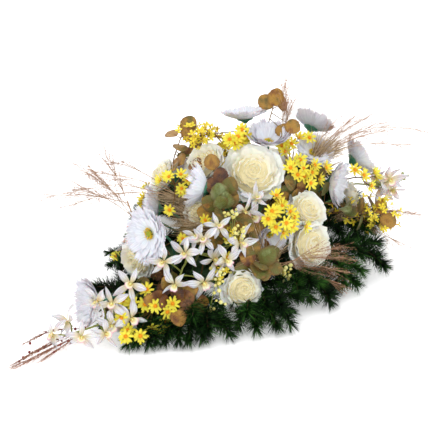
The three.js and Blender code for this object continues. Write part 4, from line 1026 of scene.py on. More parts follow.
def daisy_head(piece, place, radius):
    gold, closed = draw.random(), draw.uniform(0.7, 1.5)
    for count, reach, cup in DAISY_RINGS:
        for k in range(count):
            angle = (k + cup + draw.uniform(-0.2, 0.2)) * math.tau / count
            lift = cup * closed * draw.uniform(0.7, 1.3)
            surface = narrow_petal(radius * reach * draw.uniform(0.88, 1.06), radius * 0.17, lift, angle)
            tone = 0.75 * gold + draw.uniform(0, 0.25)
            sheet(piece, place, surface, daisy_petal, tone, across=5, along=5, thick=0.4)
    turned(piece, place, scaled(DAISY_EYE, radius), daisy_eye, 0.4, sides=9)
    turned(piece, place, scaled(DAISY_CUP, radius), stem_olive, 0.4, sides=7)


def stalked_daisy(piece, points, row, radius):
    """A daisy on a stalk from the nearest of a twig's points."""
    place = standing(*row, draw.uniform(0, 50))
    facing = place[0][:, 2]
    daisy_head(piece, place, radius)
    stalk(piece, points, place[1] - facing * 2, facing, (1.0, 0.7), twig_brown, sides=4)


# %% Places of the daisies
# The line of each stem, and the place, compass and rise of each flower.
DAISIES = {
    "daisy_centre": ([(16, -42, 34), (14, -50, 58), (4, -112, 126), (4, -132, 140)], [
        (-22, -161, 176, 230, 41), (-4, -156, 166, 247, 46), (16, -150, 168, 272, 47),
        (28, -168, 148, 280, 18), (-8, -182, 156, 249, 16), (-20, -169, 148, 230, 11),
        (36, -189, 135, 286, 2), (10, -181, 143, 264, 6), (12, -140, 186, 251, 67),
        (21, -141, 169, 250, 40), (23, -163, 159, 270, 30), (-30, -160, 164, 220, 20),
        (-6, -174, 134, 265, -10),
    ]),
    "daisy_upper": ([(84, -28, 34), (86, -34, 58), (98, -84, 166), (100, -98, 190)], [
        (76, -132, 202, 241, 37), (96, -128, 206, 263, 46), (119, -134, 207, 286, 36),
        (96, -146, 184, 260, 12), (122, -144, 182, 289, 12), (66, -124, 216, 224, 45),
        (112, -66, 236, 233, 78), (127, -87, 243, 301, 65), (100, -80, 222, 227, 55),
        (101, -71, 231, 225, 45), (115, -81, 233, 245, 50), (152, -92, 237, 240, 50),
        (103, -113, 216, 240, 40), (110, -136, 197, 270, 20), (93, -133, 194, 250, 10),
        (89, -109, 213, 230, 50), (136, -146, 200, 290, 30),
    ]),
    "daisy_left": ([(-66, -4, 34), (-70, -4, 58), (-100, -6, 176), (-108, -8, 204)], [
        (-124, -12, 226, 198, 45), (-104, -20, 226, 235, 57), (-96, -28, 216, 254, 35),
        (-112, -30, 206, 227, 16), (-128, 6, 214, 156, 30), (-154, -44, 184, 210, 19),
        (-154, -76, 140, 220, 40), (-112, -88, 165, 240, 30), (-116, 2, 219, 210, 30),
        (-108, -26, 196, 230, 10), (-92, -58, 148, 230, 20), (-104, -136, 108, 240, 20),
        (-192, 58, 66, 200, 50),
    ]),
    "daisy_tail": ([(-142, -14, 34), (-160, -24, 56), (-222, -84, 66), (-248, -102, 52)], [
        (-276, -82, 66, 191, 37), (-262, -96, 64, 215, 33), (-250, -88, 84, 204, 57),
        (-214, -136, 40, 259, 2), (-226, -124, 62, 255, 33), (-294, -113, 25, 221, 5),
        (-270, -118, 30, 238, -4), (-244, -122, 34, 256, -1), (-282, -64, 68, 215, 30),
        (-253, -111, 64, 235, 20), (-240, -126, 53, 250, 10), (-251, -129, 23, 250, 0),
        (-310, -90, 56, 200, 20), (-308, -102, 37, 230, 10), (-320, -110, 34, 235, 20),
        (-300, -124, 32, 240, 20),
    ]),
    "daisy_right": ([
        (158, -30, 34), (166, -36, 56), (212, -98, 118), (226, -138, 146), (236, -152, 148),
    ], [
        (226, -164, 160, 271, 34), (251, -169, 158, 303, 31), (232, -178, 142, 276, 0),
        (212, -154, 172, 243, 49), (264, -163, 144, 319, 1), (258, -188, 108, 300, -19),
    ]),
    "daisy_back": ([(-12, 46, 34), (-16, 56, 56), (-22, 116, 78), (-26, 138, 84)], [
        (-44, 148, 98, 120, 35), (-22, 162, 106, 92, 40), (-6, 152, 98, 68, 34), (-54, 142, 76, 136, 11),
        (-32, 164, 78, 101, 4), (-6, 164, 76, 76, 6),
    ]),
}

# %% Make the daisies
DAISY_RADIUS = 14
SMALL_DAISIES = {"daisy_left": 11.5}

for node, (line, flowers) in DAISIES.items():
    piece = Piece()
    points = twig_points([line])
    for row in flowers:
        stalked_daisy(piece, points, row, SMALL_DAISIES.get(node, DAISY_RADIUS))
    stems(piece, [line], (1.9, 1.2), twig_brown)
    done(piece, node, node + "_bunch", "daisy")

# %% [markdown]
# ## Leaves
#
# The pressed leaves are nearly round, with a wavy edge and a fold along the rib. Each grows away from the
# nearest point of its twig and turns its face as near to its compass and rise as that allows. Its tone
# picks its colour, from grey-green at 0 to red-brown at 1.

# %% One leaf
LEAF_LENGTH, LEAF_WIDTH = 30, 28


def leaf(piece, points, x, y, z, compass, rise, size, tone):
    """A leaf round a middle, with a stalk from the nearest of its twig's points."""
    middle = np.array([x, y, z], float)
    start = points[np.argmin(np.linalg.norm(points - middle, axis=1))]
    along = middle - start
    reach = np.linalg.norm(along)
    along /= reach
    front = standing(0, 0, 0, compass, rise)[0][:, 2]
    front = front - along * (front @ along)
    front /= np.linalg.norm(front)
    place = np.stack([along, np.cross(front, along), front], axis=1), start
    length, width = LEAF_LENGTH * size, LEAF_WIDTH * size
    foot = max(reach - length / 2, 2)
    wave, fold, bend = draw.uniform(0, 6), draw.uniform(0.08, 0.24), draw.uniform(0.1, 0.4)

    def surface(u, v):
        wide = width / 2 * np.sin(math.pi * np.clip(v, 0.01, 0.99) ** 0.9) ** 0.5
        edge = 1 + 0.045 * np.cos(34 * v + wave) * np.abs(u) ** 3
        out = foot + length * v
        ripple = 0.9 * np.sin(5 * v + 3 * u + wave) * np.abs(u)
        height = fold * np.abs(wide * u) - bend * length * 0.5 * v**2 + ripple
        return np.stack([out, wide * edge * u, height], axis=-1)

    sheet(piece, place, surface, leaf_face, tone, across=9, along=11)
    end = start + along * (foot + 2)
    rod(piece, np.linspace(start, end, 4), (0.9, 0.6), twig_brown, draw.random(), sides=5)


# %% Places of the leaves
# The line of each stem, and the place, compass, rise and size of each leaf. A leaf that closes a gap
# between the flowers has a tone at the end, and the others draw theirs between the bounds in LEAF_TONES.
LEAVES = {
    "leaves_top": ([(97, 12, 34), (99, 8, 58), (109, -21, 230), (112, -36, 290)], [
        (119, -37, 311, 225, 30, 1.1), (114, -84, 269, 240, 20, 1), (142, -34, 290, 250, 20, 1),
        (111, -23, 298, 230, 30, 1.1), (108, -68, 257, 240, 30, 1.1, 0.6),
    ]),
    "leaves_left": ([(-30, 24, 34), (-34, 30, 58), (-48, 62, 190), (-28, 60, 246)], [
        (-8, 60, 268, 215, 30, 1.1), (-26, 44, 258, 225, 24, 1), (-46, 42, 240, 240, 40, 1),
        (-58, 32, 222, 225, 20, 1), (-26, 86, 246, 100, 40, 1), (-54, -6, 223, 215, 40, 1, 0.8),
        (-74, 34, 214, 215, 30, 1, 0.5),
    ]),
    "leaves_centre": ([(-52, -28, 34), (-56, -36, 58), (-70, -84, 140), (-74, -94, 170)], [
        (-84, -98, 192, 230, 30, 1), (-60, -100, 192, 232, 44, 1), (-90, -106, 172, 226, 20, 1),
        (-54, -116, 160, 246, 30, 1.2), (-66, -122, 132, 240, 24, 1.2), (-92, -110, 146, 224, 20, 1),
        (-49, -41, 239, 225, 30, 1, 0.6), (-58, -72, 226, 215, 20, 1, 0.95),
        (-72, -68, 210, 230, 40, 1, 0.9), (-57, -93, 213, 225, 35, 1.1, 0.4),
        (-76, -88, 205, 215, 30, 1.2, 0.1), (-76, -100, 194, 235, 25, 1.2, 0.15),
        (-86, -100, 172, 225, 20, 1.1, 0.35), (-63, -133, 156, 230, 30, 1.3, 0.45),
        (-64, -140, 135, 238, 15, 1.4, 0.4), (-78, -130, 145, 215, 20, 1.3, 0.5),
        (-39, -141, 142, 250, 20, 1.1, 0.5), (-91, -79, 187, 200, 40, 1.1, 0.35),
        (-118, -82, 134, 225, 50, 1.2, 0.4), (-126, -64, 140, 215, 50, 1.2, 0.45),
        (-109, -105, 131, 240, 45, 1.2, 0.5), (-49, -111, 168, 240, 30, 1, 0.9),
        (-32, -148, 104, 240, 20, 1.1, 0.7), (-102, -78, 174, 215, 25, 1, 0.55),
    ]),
    "leaves_right": ([
        (104, -48, 34), (110, -62, 58), (140, -136, 124), (186, -172, 108), (232, -192, 90),
    ], [
        (134, -150, 160, 262, 30, 1), (168, -178, 128, 272, 20, 1), (118, -140, 166, 250, 40, 1),
        (190, -190, 122, 290, 30, 1), (196, -186, 80, 296, 0, 1), (232, -184, 98, 300, 20, 1.2),
        (258, -196, 68, 312, 0, 1.2), (127, -137, 188, 250, 35, 1.15, 0.3),
        (120, -134, 163, 262, 25, 1.2, 0.35), (125, -133, 140, 255, 20, 0.9, 0.2),
        (63, -129, 191, 235, 40, 1.1, 0.4), (57, -127, 175, 225, 20, 1.1, 0.3),
        (45, -125, 164, 240, 10, 1, 0.6), (90, -130, 170, 250, 30, 1, 0.75),
        (74, -134, 161, 260, 20, 1, 0.45), (181, -161, 111, 280, 20, 1, 0.5),
        (243, -183, 103, 300, 10, 1, 0.55), (163, -153, 115, 270, 10, 0.9, 0.4),
        (173, -177, 112, 230, 30, 1, 0.25), (152, -186, 126, 235, 40, 0.9, 0.2),
        (242, -194, 96, 240, 20, 1, 0.6), (246, -214, 76, 235, 20, 1.1, 0.65),
    ]),
    "leaves_front": ([(-14, -52, 34), (-20, -64, 58), (-46, -150, 92), (-58, -166, 90)], [
        (-70, -182, 96, 246, 40, 1), (-75, -193, 86, 236, 20, 1), (-44, -190, 84, 258, 30, 1),
        (-38, -176, 106, 250, 50, 1), (-24, -168, 96, 262, 40, 1), (-49, -177, 104, 245, 40, 1.2, 0.26),
        (-77, -185, 91, 240, 35, 1.3, 0.4), (-97, -165, 89, 225, 30, 1.2, 0.34),
        (-68, -158, 120, 235, 30, 1.2, 0.42), (-78, -158, 105, 240, 40, 1.1, 0.8),
    ]),
    "leaves_tail": ([(-126, -22, 34), (-140, -32, 56), (-200, -95, 72), (-216, -114, 62)], [
        (-219, -105, 92, 226, 50, 1), (-240, -104, 70, 222, 30, 1), (-232, -145, 47, 240, 20, 1),
        (-204, -132, 66, 246, 40, 1.1), (-192, -128, 76, 250, 44, 1.1), (-176, -142, 50, 252, 20, 1),
        (-198, -154, 42, 250, 0, 1), (-197, -53, 80, 215, 30, 0.9, 0.85),
        (-187, -53, 90, 230, 50, 0.8, 0.6), (-213, -99, 73, 230, 40, 0.85, 0.9),
        (-257, -103, 74, 225, 30, 0.85, 0.7), (-238, -118, 66, 240, 25, 0.9, 0.85),
        (-214, -120, 70, 245, 40, 0.9, 0.9), (-196, -144, 49, 250, 25, 0.85, 0.2),
        (-211, -141, 50, 245, 20, 0.8, 0.7), (-237, -63, 81, 225, 40, 0.8, 0.35),
        (-190, -110, 73, 235, 40, 0.85, 0.45), (-197, -93, 81, 240, 50, 0.85, 0.3),
    ]),
    "leaves_back": ([(76, 70, 34), (82, 80, 56), (100, 145, 110), (116, 156, 128)], [
        (112, 166, 152, 84, 40, 1), (90, 174, 134, 96, 30, 1), (138, 168, 134, 70, 30, 1),
        (104, 184, 112, 86, 10, 1), (138, 180, 108, 70, 0, 1), (84, 150, 156, 100, 50, 1),
        (134, 100, 92, 50, 50, 1.4), (156, 62, 90, 40, 60, 1.4), (160, 118, 104, 60, 30, 1.4),
        (76, 84, 168, 100, 50, 1.3, 0.5), (60, 96, 150, 110, 40, 1.2, 0.3),
        (96, 96, 178, 80, 50, 1.2, 0.7), (48, 74, 176, 110, 50, 1.2, 0.6),
        (128, 92, 168, 60, 50, 1.2, 0.4), (20, 84, 150, 100, 40, 1.3, 0.2),
        (70, 66, 198, 95, 50, 1.1, 0.8), (158, 80, 150, 50, 40, 1.2, 0.6),
        (34, 108, 132, 100, 30, 1.2, 0.9),
    ]),
}

# %% Make the leaves
LEAF_TONES = {
    "leaves_top": (0.52, 0.68), "leaves_left": (0.48, 0.72), "leaves_centre": (0.1, 0.5),
    "leaves_right": (0.2, 0.5), "leaves_front": (0.2, 0.48), "leaves_tail": (0.45, 1.0),
    "leaves_back": (0.1, 0.8),
}

for node, (line, rows) in LEAVES.items():
    piece = Piece()
    points = twig_points([line])
    for x, y, z, compass, rise, size, *tone in rows:
        tone = tone or [draw.uniform(*LEAF_TONES[node])]
        leaf(piece, points, x, y, z, compass, rise, size, *tone)
    stems(piece, [line], (1.9, 1.0), twig_brown)
    done(piece, node, node + "_sprig", "leaf")

# %% [markdown]
# ## Yellow twigs and cream buds
#
# Two brown twigs carry a cloud of small four-petalled stars, each on a stalk of one to three centimetres.
# The CAD model has a few of them, and more are drawn here along the same twigs. The buds at the front are
# little cream balls in loose clusters.

# %% Stars
STAR_HORN = [(0, -0.7), (0.1, -0.68), (0.2, -0.1), (0.16, 0.12), (0, 0.16)]


def star_head(piece, place, radius):
    """Four petals round the mouth of a little horn."""
    for k in range(4):
        surface = narrow_petal(radius * draw.uniform(0.9, 1.05), radius * 0.34, 0.4, k * math.tau / 4)
        sheet(piece, place, surface, star_petal, draw.random(), across=3, along=4, thick=0.4)
    turned(piece, place, scaled(STAR_HORN, radius), star_petal, 0.1, sides=6)


def scattered(points, near, far):
    """A point a little off a twig, in any direction but steeply down, with its compass and rise."""
    at = points[draw.randrange(len(points))]
    compass, rise = draw.uniform(0, 360), draw.uniform(-25, 75)
    way = standing(0, 0, 0, compass, rise)[0][:, 2]
    return at + way * draw.uniform(near, far), compass, rise


# %% Places of the yellow twigs
# The lines of each twig, and the place, compass and rise of the stars that the CAD model has too.
YELLOW_TWIGS = {
    "yellow_twig_left": ([
        [(28, 7, 34), (28, 11, 58), (48, 10, 180), (34, 36, 242), (-26, 62, 254)],
        [(29, 37, 241), (0, 22, 256), (-34, 20, 254)],
    ], [
        (29, 18, 138, 145, 11), (30, 9, 149, 174, 1), (25, 2, 166, 201, 5), (37, 19, 188, 150, -2),
        (33, 22, 208, 175, -27), (31, 15, 224, 239, 13), (47, 29, 238, 352, 28), (29, 33, 254, 293, 40),
        (27, 39, 259, 300, 81), (3, 54, 262, 45, 72), (-21, 70, 265, 81, 52), (21, 27, 250, 314, 27),
        (1, 15, 262, 296, 40), (-2, 27, 265, 83, 61), (0, 13, 255, 286, -3), (-15, 20, 263, 244, 81),
        (-21, 31, 263, 96, 34),
    ]),
    "yellow_twig_right": ([
        [(119, -65, 34), (131, -77, 56), (210, -171, 98), (266, -212, 86)],
        [(198, -159, 95), (229, -180, 66), (251, -210, 58)],
    ], [
        (177, -101, 93, 52, 30), (172, -120, 88, 56, 46), (201, -146, 92, 38, -5),
        (222, -164, 100, 49, 20), (216, -167, 107, 52, 60), (243, -205, 95, 242, 26),
        (253, -219, 91, 239, 13), (239, -167, 71, 42, 12), (226, -169, 68, 64, -26),
        (239, -180, 68, 29, 30), (261, -210, 60, 342, 5),
    ]),
}
# A few daisies hang on the left twig too.
TWIG_DAISIES = {
    "yellow_twig_left": [
        (24, -34, 262, 235, 40), (19, -32, 251, 225, 10), (12, -26, 258, 200, 30), (44, -24, 266, 240, 30),
        (50, -28, 252, 230, 10), (36, -30, 246, 225, 20), (46, -27, 238, 240, 0),
    ],
}
# How many stars are drawn on each twig, and how far from it they may sit.
MORE_STARS = {"yellow_twig_left": (100, 20), "yellow_twig_right": (70, 34)}
TWIG_BUDS = 14
# The inner part of a twig is bare. These are the first of its points that have stars or buds round them.
STARS_FROM, BUDS_FROM = 26, 24

# %% Make the yellow twigs
for node, (lines, rows) in YELLOW_TWIGS.items():
    piece = Piece()
    points = twig_points(lines)
    outer = np.vstack([smooth_line(line, TWIG_POINTS)[STARS_FROM:] for line in lines])
    count, reach = MORE_STARS[node]
    extra = [scattered(outer, 5, reach) for _ in range(count)]
    for row in rows + [(*at, compass, rise) for at, compass, rise in extra]:
        place = standing(*row, draw.uniform(0, 90))
        facing = place[0][:, 2]
        star_head(piece, place, draw.uniform(5.6, 8.0))
        stalk(piece, points, place[1] - facing * 3, facing, (0.7, 0.45), twig_brown, sides=4)
    for row in TWIG_DAISIES.get(node, []):
        stalked_daisy(piece, points, row, DAISY_RADIUS)
    for line in lines:
        for _ in range(TWIG_BUDS):
            at, _, _ = scattered(smooth_line(line, TWIG_POINTS)[BUDS_FROM:], 3, 9)
            ball(piece, at, draw.uniform(1.4, 2.2), star_petal, draw.random())
    stems(piece, lines, (1.9, 0.9), twig_brown)
    done(piece, node, node + "_stars", "yellow_twig")

# %% [markdown]
# The cream buds sit in fours, one larger ball with three smaller ones wired to it. Loose balls and open
# stars round the ends of the twigs hide where one cluster stops and the next starts.

# %% Places of the cream buds
CREAM_STEMS = [
    [(-60, -42, 34), (-68, -54, 56), (-110, -128, 92), (-146, -148, 84)],
    [(-87, -91, 78), (-34, -150, 76), (-20, -180, 62)],
    [(-78, -73, 68), (-78, -118, 116), (-92, -136, 146)],
]
CREAM_BUDS = [
    (-154, -164, 88, 237, 8), (-161, -171, 80, 232, -10), (-167, -181, 64, 234, -26),
    (-145, -157, 104, 257, 59), (-174, -161, 41, 205, -51), (-20, -192, 70, 275, 22),
    (-10, -196, 56, 300, -19), (-28, -198, 52, 253, -28), (-99, -147, 166, 235, 56),
    (-89, -157, 161, 273, 38), (-104, -142, 144, 210, 4), (-78, -122, 171, 240, 40),
    (-72, -138, 150, 250, 20), (-74, -126, 177, 240, 50), (-84, -116, 177, 220, 40),
    (-17, -193, 74, 270, 30), (-20, -194, 59, 265, 0), (-8, -196, 77, 280, 30),
]

# %% Make the cream buds
LOOSE_BUDS = 120
LOOSE_FROM = 44  # they sit round the points of a stem from this one to its tip
OPEN_SHARE = 0.45  # the share of the loose ones that are open stars

piece = Piece()
points = twig_points(CREAM_STEMS)
ends = np.vstack([smooth_line(line, TWIG_POINTS)[LOOSE_FROM:] for line in CREAM_STEMS])
for x, y, z, compass, rise in CREAM_BUDS:
    ball(piece, (x, y, z), 3.9, bud_cream, draw.random())
    for _ in range(3):
        beside = [c + draw.choice((-1, 1)) * draw.uniform(3, 6) for c in (x, y, z)]
        ball(piece, beside, draw.uniform(2.2, 3.2), bud_cream, draw.random())
        rod(piece, [(x, y, z), beside], (0.5, 0.5), stem_olive, sides=4)
    turn, at = standing(x, y, z, compass, rise)
    stalk(piece, points, at, turn[:, 2], (0.9, 0.6), stem_olive, sides=4)
for _ in range(LOOSE_BUDS):
    at, compass, rise = scattered(ends, 6, 19)
    place = standing(*at, compass, rise)
    if draw.random() < OPEN_SHARE:
        star_head(piece, place, draw.uniform(4.5, 6.5))
    else:
        ball(piece, at, draw.uniform(2.2, 3.6), bud_cream, draw.random())
    stalk(piece, points, at, place[0][:, 2], (0.7, 0.4), stem_olive, sides=4)
stems(piece, CREAM_STEMS, (1.9, 1.0), stem_olive)
done(piece, "cream_buds_front", "cream_buds_front_cluster", "cream_bud")

# %% [markdown]
# ## Dried grass
#
# A grass head is a thin axis with side hairs that sweep forward, and each hair carries seeds like
# rice grains. From a step away it is a haze of fine lines, so the hairs have to be thin and many. They
# are drawn at random round the axis, longer at the foot of the head than at its tip.

# %% One grass head
SEED_LENGTH = 3.0


def rays(line, start, count, spread, lengths):
    """Roots and aims of hairs along a line: they leave it at an angle of about spread degrees."""
    where = np.array([draw.uniform(start, 1.0) for _ in range(count)])
    dense = np.linspace(0, 1, len(line))
    roots = np.stack([np.interp(where, dense, line[:, k]) for k in range(3)], axis=1)
    tangents = np.gradient(line, axis=0)
    aims = np.stack([np.interp(where, dense, tangents[:, k]) for k in range(3)], axis=1)
    aims /= np.linalg.norm(aims, axis=1, keepdims=True)
    around = np.array([draw.uniform(0, math.tau) for _ in range(count)])[:, None]
    side = np.cross(aims, OBLIQUE)
    side /= np.linalg.norm(side, axis=1, keepdims=True)
    spoke = np.cos(around) * side + np.sin(around) * np.cross(aims, side)
    angle = np.radians([draw.gauss(spread, spread / 5) for _ in range(count)])[:, None]
    long = np.array([draw.uniform(*lengths) for _ in range(count)]) * (1.25 - 0.75 * where)
    return roots, np.cos(angle) * aims + np.sin(angle) * spoke, long


def grass_head(piece, path, hair_count, seed_count, spread, reach, finish):
    """A head along a path: hairs at an angle of spread to it, each with its seeds between root and tip."""
    line = smooth_line(path, 24)
    rod(piece, line, (0.65, 0.3), finish, draw.random(), sides=4)
    roots, aims, long = rays(line, 0.2, hair_count, spread, reach)
    tones = np.array([draw.random() for _ in range(hair_count)])
    middles, tips = hairs(piece, roots, aims, long, finish, tones, thick=0.22, droop=0.07)
    share = [[draw.uniform(0.25, 1.0) for _ in range(seed_count)] for _ in range(hair_count)]
    share = np.array(share)[..., None]
    lower = roots[:, None] + (middles - roots)[:, None] * share * 2
    upper = middles[:, None] + (tips - middles)[:, None] * (share - 0.5) * 2
    seeds = np.where(share < 0.5, lower, upper).reshape(-1, 3)
    ways = np.repeat((tips - roots) / long[:, None], seed_count, axis=0)
    ways = ways + np.array([[draw.gauss(0, 0.35) for _ in range(3)] for _ in range(len(ways))])
    hairs(piece, seeds, ways, SEED_LENGTH, grass_seed, np.repeat(tones, seed_count), 0.12, belly=3.2)


# %% [markdown]
# Straw is tied in bundles: dry stalks of uneven length that fan out from a binding, which stands in the
# foam on a stem of its own.

# %% One bundle of straw
def straw(piece, root, tip, count):
    """A bundle that is tied at a root and fans out towards a tip."""
    root, tip = np.array(root, float), np.array(tip, float)
    foot = root * [0.5, 0.45, 0]
    # The stem leaves the foam some way inwards from the binding, and stands in it still further inwards.
    stem = [foot + [0, 0, 36], foot * 1.1 + [0, 0, 56], root]
    rod(piece, smooth_line(stem, 12), (1.6, 1.4), twig_brown, sides=5)
    spread = 0.16 * np.linalg.norm(tip - root)
    roots = np.array([root + [draw.gauss(0, 2.5) for _ in range(3)] for _ in range(count)])
    aims = np.array([tip - root + [draw.gauss(0, spread) for _ in range(3)] for _ in range(count)])
    long = np.linalg.norm(aims, axis=1) * [draw.uniform(0.5, 1.05) for _ in range(count)]
    tones = [draw.random() for _ in range(count)]
    hairs(piece, roots, aims, long, straw_brown, tones, thick=0.75, droop=0.08)


# %% Places of the grass
# The line of each stem, the paths of its heads, and the root, tip and number of straws of its bundles.
GRASSES = {
    "grass_left": ([(-100, 12, 34), (-106, 14, 58), (-152, 40, 112), (-168, 50, 172)], [
        [(-167, 49, 168), (-217, 92, 186), (-266, 134, 188)],
        [(-165, 48, 159), (-189, 84, 199), (-212, 120, 226)],
        [(-164, 47, 151), (-165, 79, 206), (-166, 110, 248)],
        [(-162, 46, 142), (-197, 71, 179), (-232, 96, 204)],
        [(-159, 44, 133), (-172, 87, 181), (-186, 130, 214)],
        [(-112, -4, 182), (-180, 56, 206), (-238, 108, 196)],
        [(-110, 0, 188), (-158, 50, 214), (-204, 92, 226)],
        [(-114, 4, 184), (-190, 64, 190), (-258, 104, 176)],
        [(-108, 4, 192), (-140, 58, 222), (-168, 100, 236)],
    ], [
        ((-66, -80, 138), (-140, -16, 168), 65), ((-80, -94, 136), (-148, -34, 154), 60),
        ((-92, -54, 150), (-128, 12, 190), 45), ((-100, -30, 176), (-150, 20, 200), 40),
        ((-89, -81, 138), (-143, -27, 156), 65), ((-96, -84, 134), (-143, -37, 134), 55),
    ]),
    "grass_top": ([(122, -4, 34), (124, -8, 58), (136, -36, 200), (138, -40, 232)], [
        [(138, -39, 228), (129, -46, 285), (134, -43, 330)],
        [(137, -38, 219), (133, -53, 272), (128, -52, 317)],
        [(137, -37, 210), (143, -42, 264), (150, -46, 306)],
    ], []),
    "grass_head": ([(128, -16, 34), (134, -22, 58), (160, -70, 160), (172, -86, 190)], [
        [(171, -84, 187), (274, -139, 232), (362, -188, 218)],
        [(168, -80, 179), (238, -115, 222), (303, -143, 236)],
        [(165, -76, 172), (217, -86, 213), (270, -96, 240)],
        [(162, -72, 164), (232, -147, 215), (303, -206, 210)],
        [(159, -68, 157), (198, -78, 211), (236, -88, 250)],
        [(150, -108, 202), (216, -150, 236), (286, -180, 240)],
        [(150, -104, 204), (208, -128, 246), (262, -140, 258)],
    ], [
        ((140, -78, 156), (236, -122, 236), 45), ((138, -84, 150), (238, -128, 190), 40),
        ((136, -90, 170), (196, -106, 240), 30), ((84, -90, 186), (66, -106, 236), 25),
        ((92, -92, 190), (90, -112, 242), 25), ((148, -112, 198), (208, -150, 238), 55),
        ((150, -110, 200), (190, -128, 252), 45), ((146, -106, 204), (172, -112, 254), 30),
    ]),
    "grass_tail": ([(-164, 4, 34), (-186, 2, 52), (-290, -22, 26), (-362, -26, 16)], [
        [(-358, -26, 16), (-419, -15, 13), (-482, -12, 8)],
        [(-349, -26, 18), (-392, -44, 23), (-439, -46, 17)],
        [(-340, -25, 19), (-385, 1, 24), (-430, 12, 18)],
        [(-350, -28, 16), (-400, -30, 16), (-468, -26, 10)],
        [(-345, -24, 18), (-395, -20, 20), (-455, -16, 14)],
        [(-352, -30, 14), (-410, -26, 12), (-476, -18, 8)],
    ], [
        ((-150, -110, 50), (-214, -146, 62), 30),
    ]),
    "grass_right": ([(164, -45, 34), (176, -57, 56), (215, -149, 82), (216, -168, 84)], [
        [(215, -164, 83), (269, -201, 83), (316, -227, 67)],
        [(214, -155, 82), (251, -171, 82), (288, -186, 72)],
        [(213, -146, 81), (231, -189, 56), (256, -228, 33)],
    ], [
        ((180, -130, 70), (250, -176, 96), 30),
    ]),
    "grass_front": ([(8, -59, 34), (4, -71, 56), (-20, -162, 74), (-26, -184, 72)], [
        [(-25, -180, 72), (2, -226, 107), (28, -272, 128)],
        [(-23, -171, 73), (11, -220, 94), (44, -268, 100)],
        [(-21, -163, 73), (16, -212, 77), (52, -262, 66)],
        [(-18, -154, 73), (11, -208, 66), (40, -262, 44)],
    ], [
        ((-40, -150, 84), (-76, -124, 168), 35), ((-30, -158, 84), (-52, -136, 170), 30),
        ((-44, -160, 92), (-110, -150, 104), 25), ((-49, -151, 82), (-72, -128, 150), 30),
        ((-47, -153, 82), (-57, -143, 158), 25), ((-42, -158, 74), (-2, -188, 126), 30),
    ]),
}

# %% [markdown]
# The grass at the tail is another kind: its heads are narrow, their hairs short and reddish, and small red
# berries sit on the outer part of its stem and of its first three heads.

# %% Make the grass
# Hairs and seeds of a head, the angle of its hairs, the bounds of their length, and its finish.
TAN_HEAD = (34, 9, 15, (32, 74), grass_tan)
RED_HEAD = (44, 7, 6, (20, 46), twig_red)
BERRIES = 36
BERRIES_FROM = -310  # they sit further out along the tail than this


def berries(piece, lines):
    """Berries close round some lines, each on a short stalk from the nearest point of them."""
    twig = np.vstack([smooth_line(line, 40) for line in lines])
    outer = twig[twig[:, 0] < BERRIES_FROM]
    for _ in range(BERRIES):
        at, _, _ = scattered(outer, 1.5, 6)
        ball(piece, at, draw.uniform(1.6, 2.6), berry_red, draw.random())
        nearest = outer[np.argmin(np.linalg.norm(outer - at, axis=1))]
        rod(piece, [nearest, at], (0.6, 0.5), twig_red, sides=4)


for node, (line, heads, bundles) in GRASSES.items():
    piece = Piece()
    for path in heads:
        grass_head(piece, path, *(RED_HEAD if node == "grass_tail" else TAN_HEAD))
    for root, tip, count in bundles:
        straw(piece, root, tip, count)
    stems(piece, [line], (1.6, 1.0), grass_tan)
    if node == "grass_tail":
        berries(piece, [line] + heads[:3])
    done(piece, node, node + "_plume", "dried_grass")

# %% [markdown]
# ## Pine
#
# The pine is a plastic garland branch: a brown wire with flat green needles twisted into it, which makes
# a bottle brush. About five and a half needles to a millimetre look right. A branch has two to four tips,
# and each way to a tip gets side twigs here. Twigs near the foam lean up to hide it. Needles that would
# end inside a flower are left out.

# %% Keep needles out of the flowers
# A flower counts as a ball whose radius is this share of its width.
BALL_SHARE = 0.42
flowers = [row for table in (GERBERAS, ROSES) for rows in table.values() for row in rows]
flower_middles = np.array([row[:3] for row in flowers], float)
flower_reach = np.array([BALL_SHARE * row[5] for row in flowers])


def clear_of_flowers(points):
    """Which of the points lie outside all the flowers."""
    gaps = np.linalg.norm(points[:, None] - flower_middles[None], axis=2)
    return (gaps > flower_reach).all(axis=1)


# %% One brush of needles
NEEDLES_PER_MM = 5.6
NEEDLE_LENGTH = (21, 30)
NEEDLE_ANGLE = 55
NEEDLE_THICK = 0.75
TUFT, TUFT_ANGLE = 60, 24  # the needles that close the end of a twig, and their angle to it


def brush(piece, line, bare, tone, share=1.0):
    """A twig with needles all round it, except on its bare first part. The share shortens the needles."""
    rod(piece, line, (1.9, 0.8), pine_bark, tone, sides=5)
    count = int(NEEDLES_PER_MM * length_of(line) * (1 - bare))
    # The lengths that the rays draw are not used, because those of needles don't depend on their place.
    roots, aims, _ = rays(line, bare, count, NEEDLE_ANGLE, (1, 2))
    tuft = rays(line, 0.93, TUFT, TUFT_ANGLE, (1, 2))
    roots, aims = np.vstack([roots, tuft[0]]), np.vstack([aims, tuft[1]])
    aims /= np.linalg.norm(aims, axis=1, keepdims=True)
    long = share * np.array([draw.uniform(*NEEDLE_LENGTH) for _ in range(len(roots))])
    tips, middles = roots + aims * long[:, None], roots + aims * long[:, None] * 0.5
    keep = clear_of_flowers(tips) & clear_of_flowers(middles)
    tones = np.clip([0.8 * tone + draw.gauss(0, 0.3) for _ in range(len(roots))], 0, 1)
    needles(piece, roots[keep], aims[keep], long[keep], pine_needle, tones[keep], NEEDLE_THICK)


# The tips of the side twigs stay this far inside the box of the solids, so that the needles fit too.
TWIG_INSET = 12
LOWEST_TIP = 15  # and this high above the table
low_corner, high_corner = [np.array(corner[:2]) / MM for corner in solid_box]
twig_limits = low_corner + TWIG_INSET, high_corner - TWIG_INSET


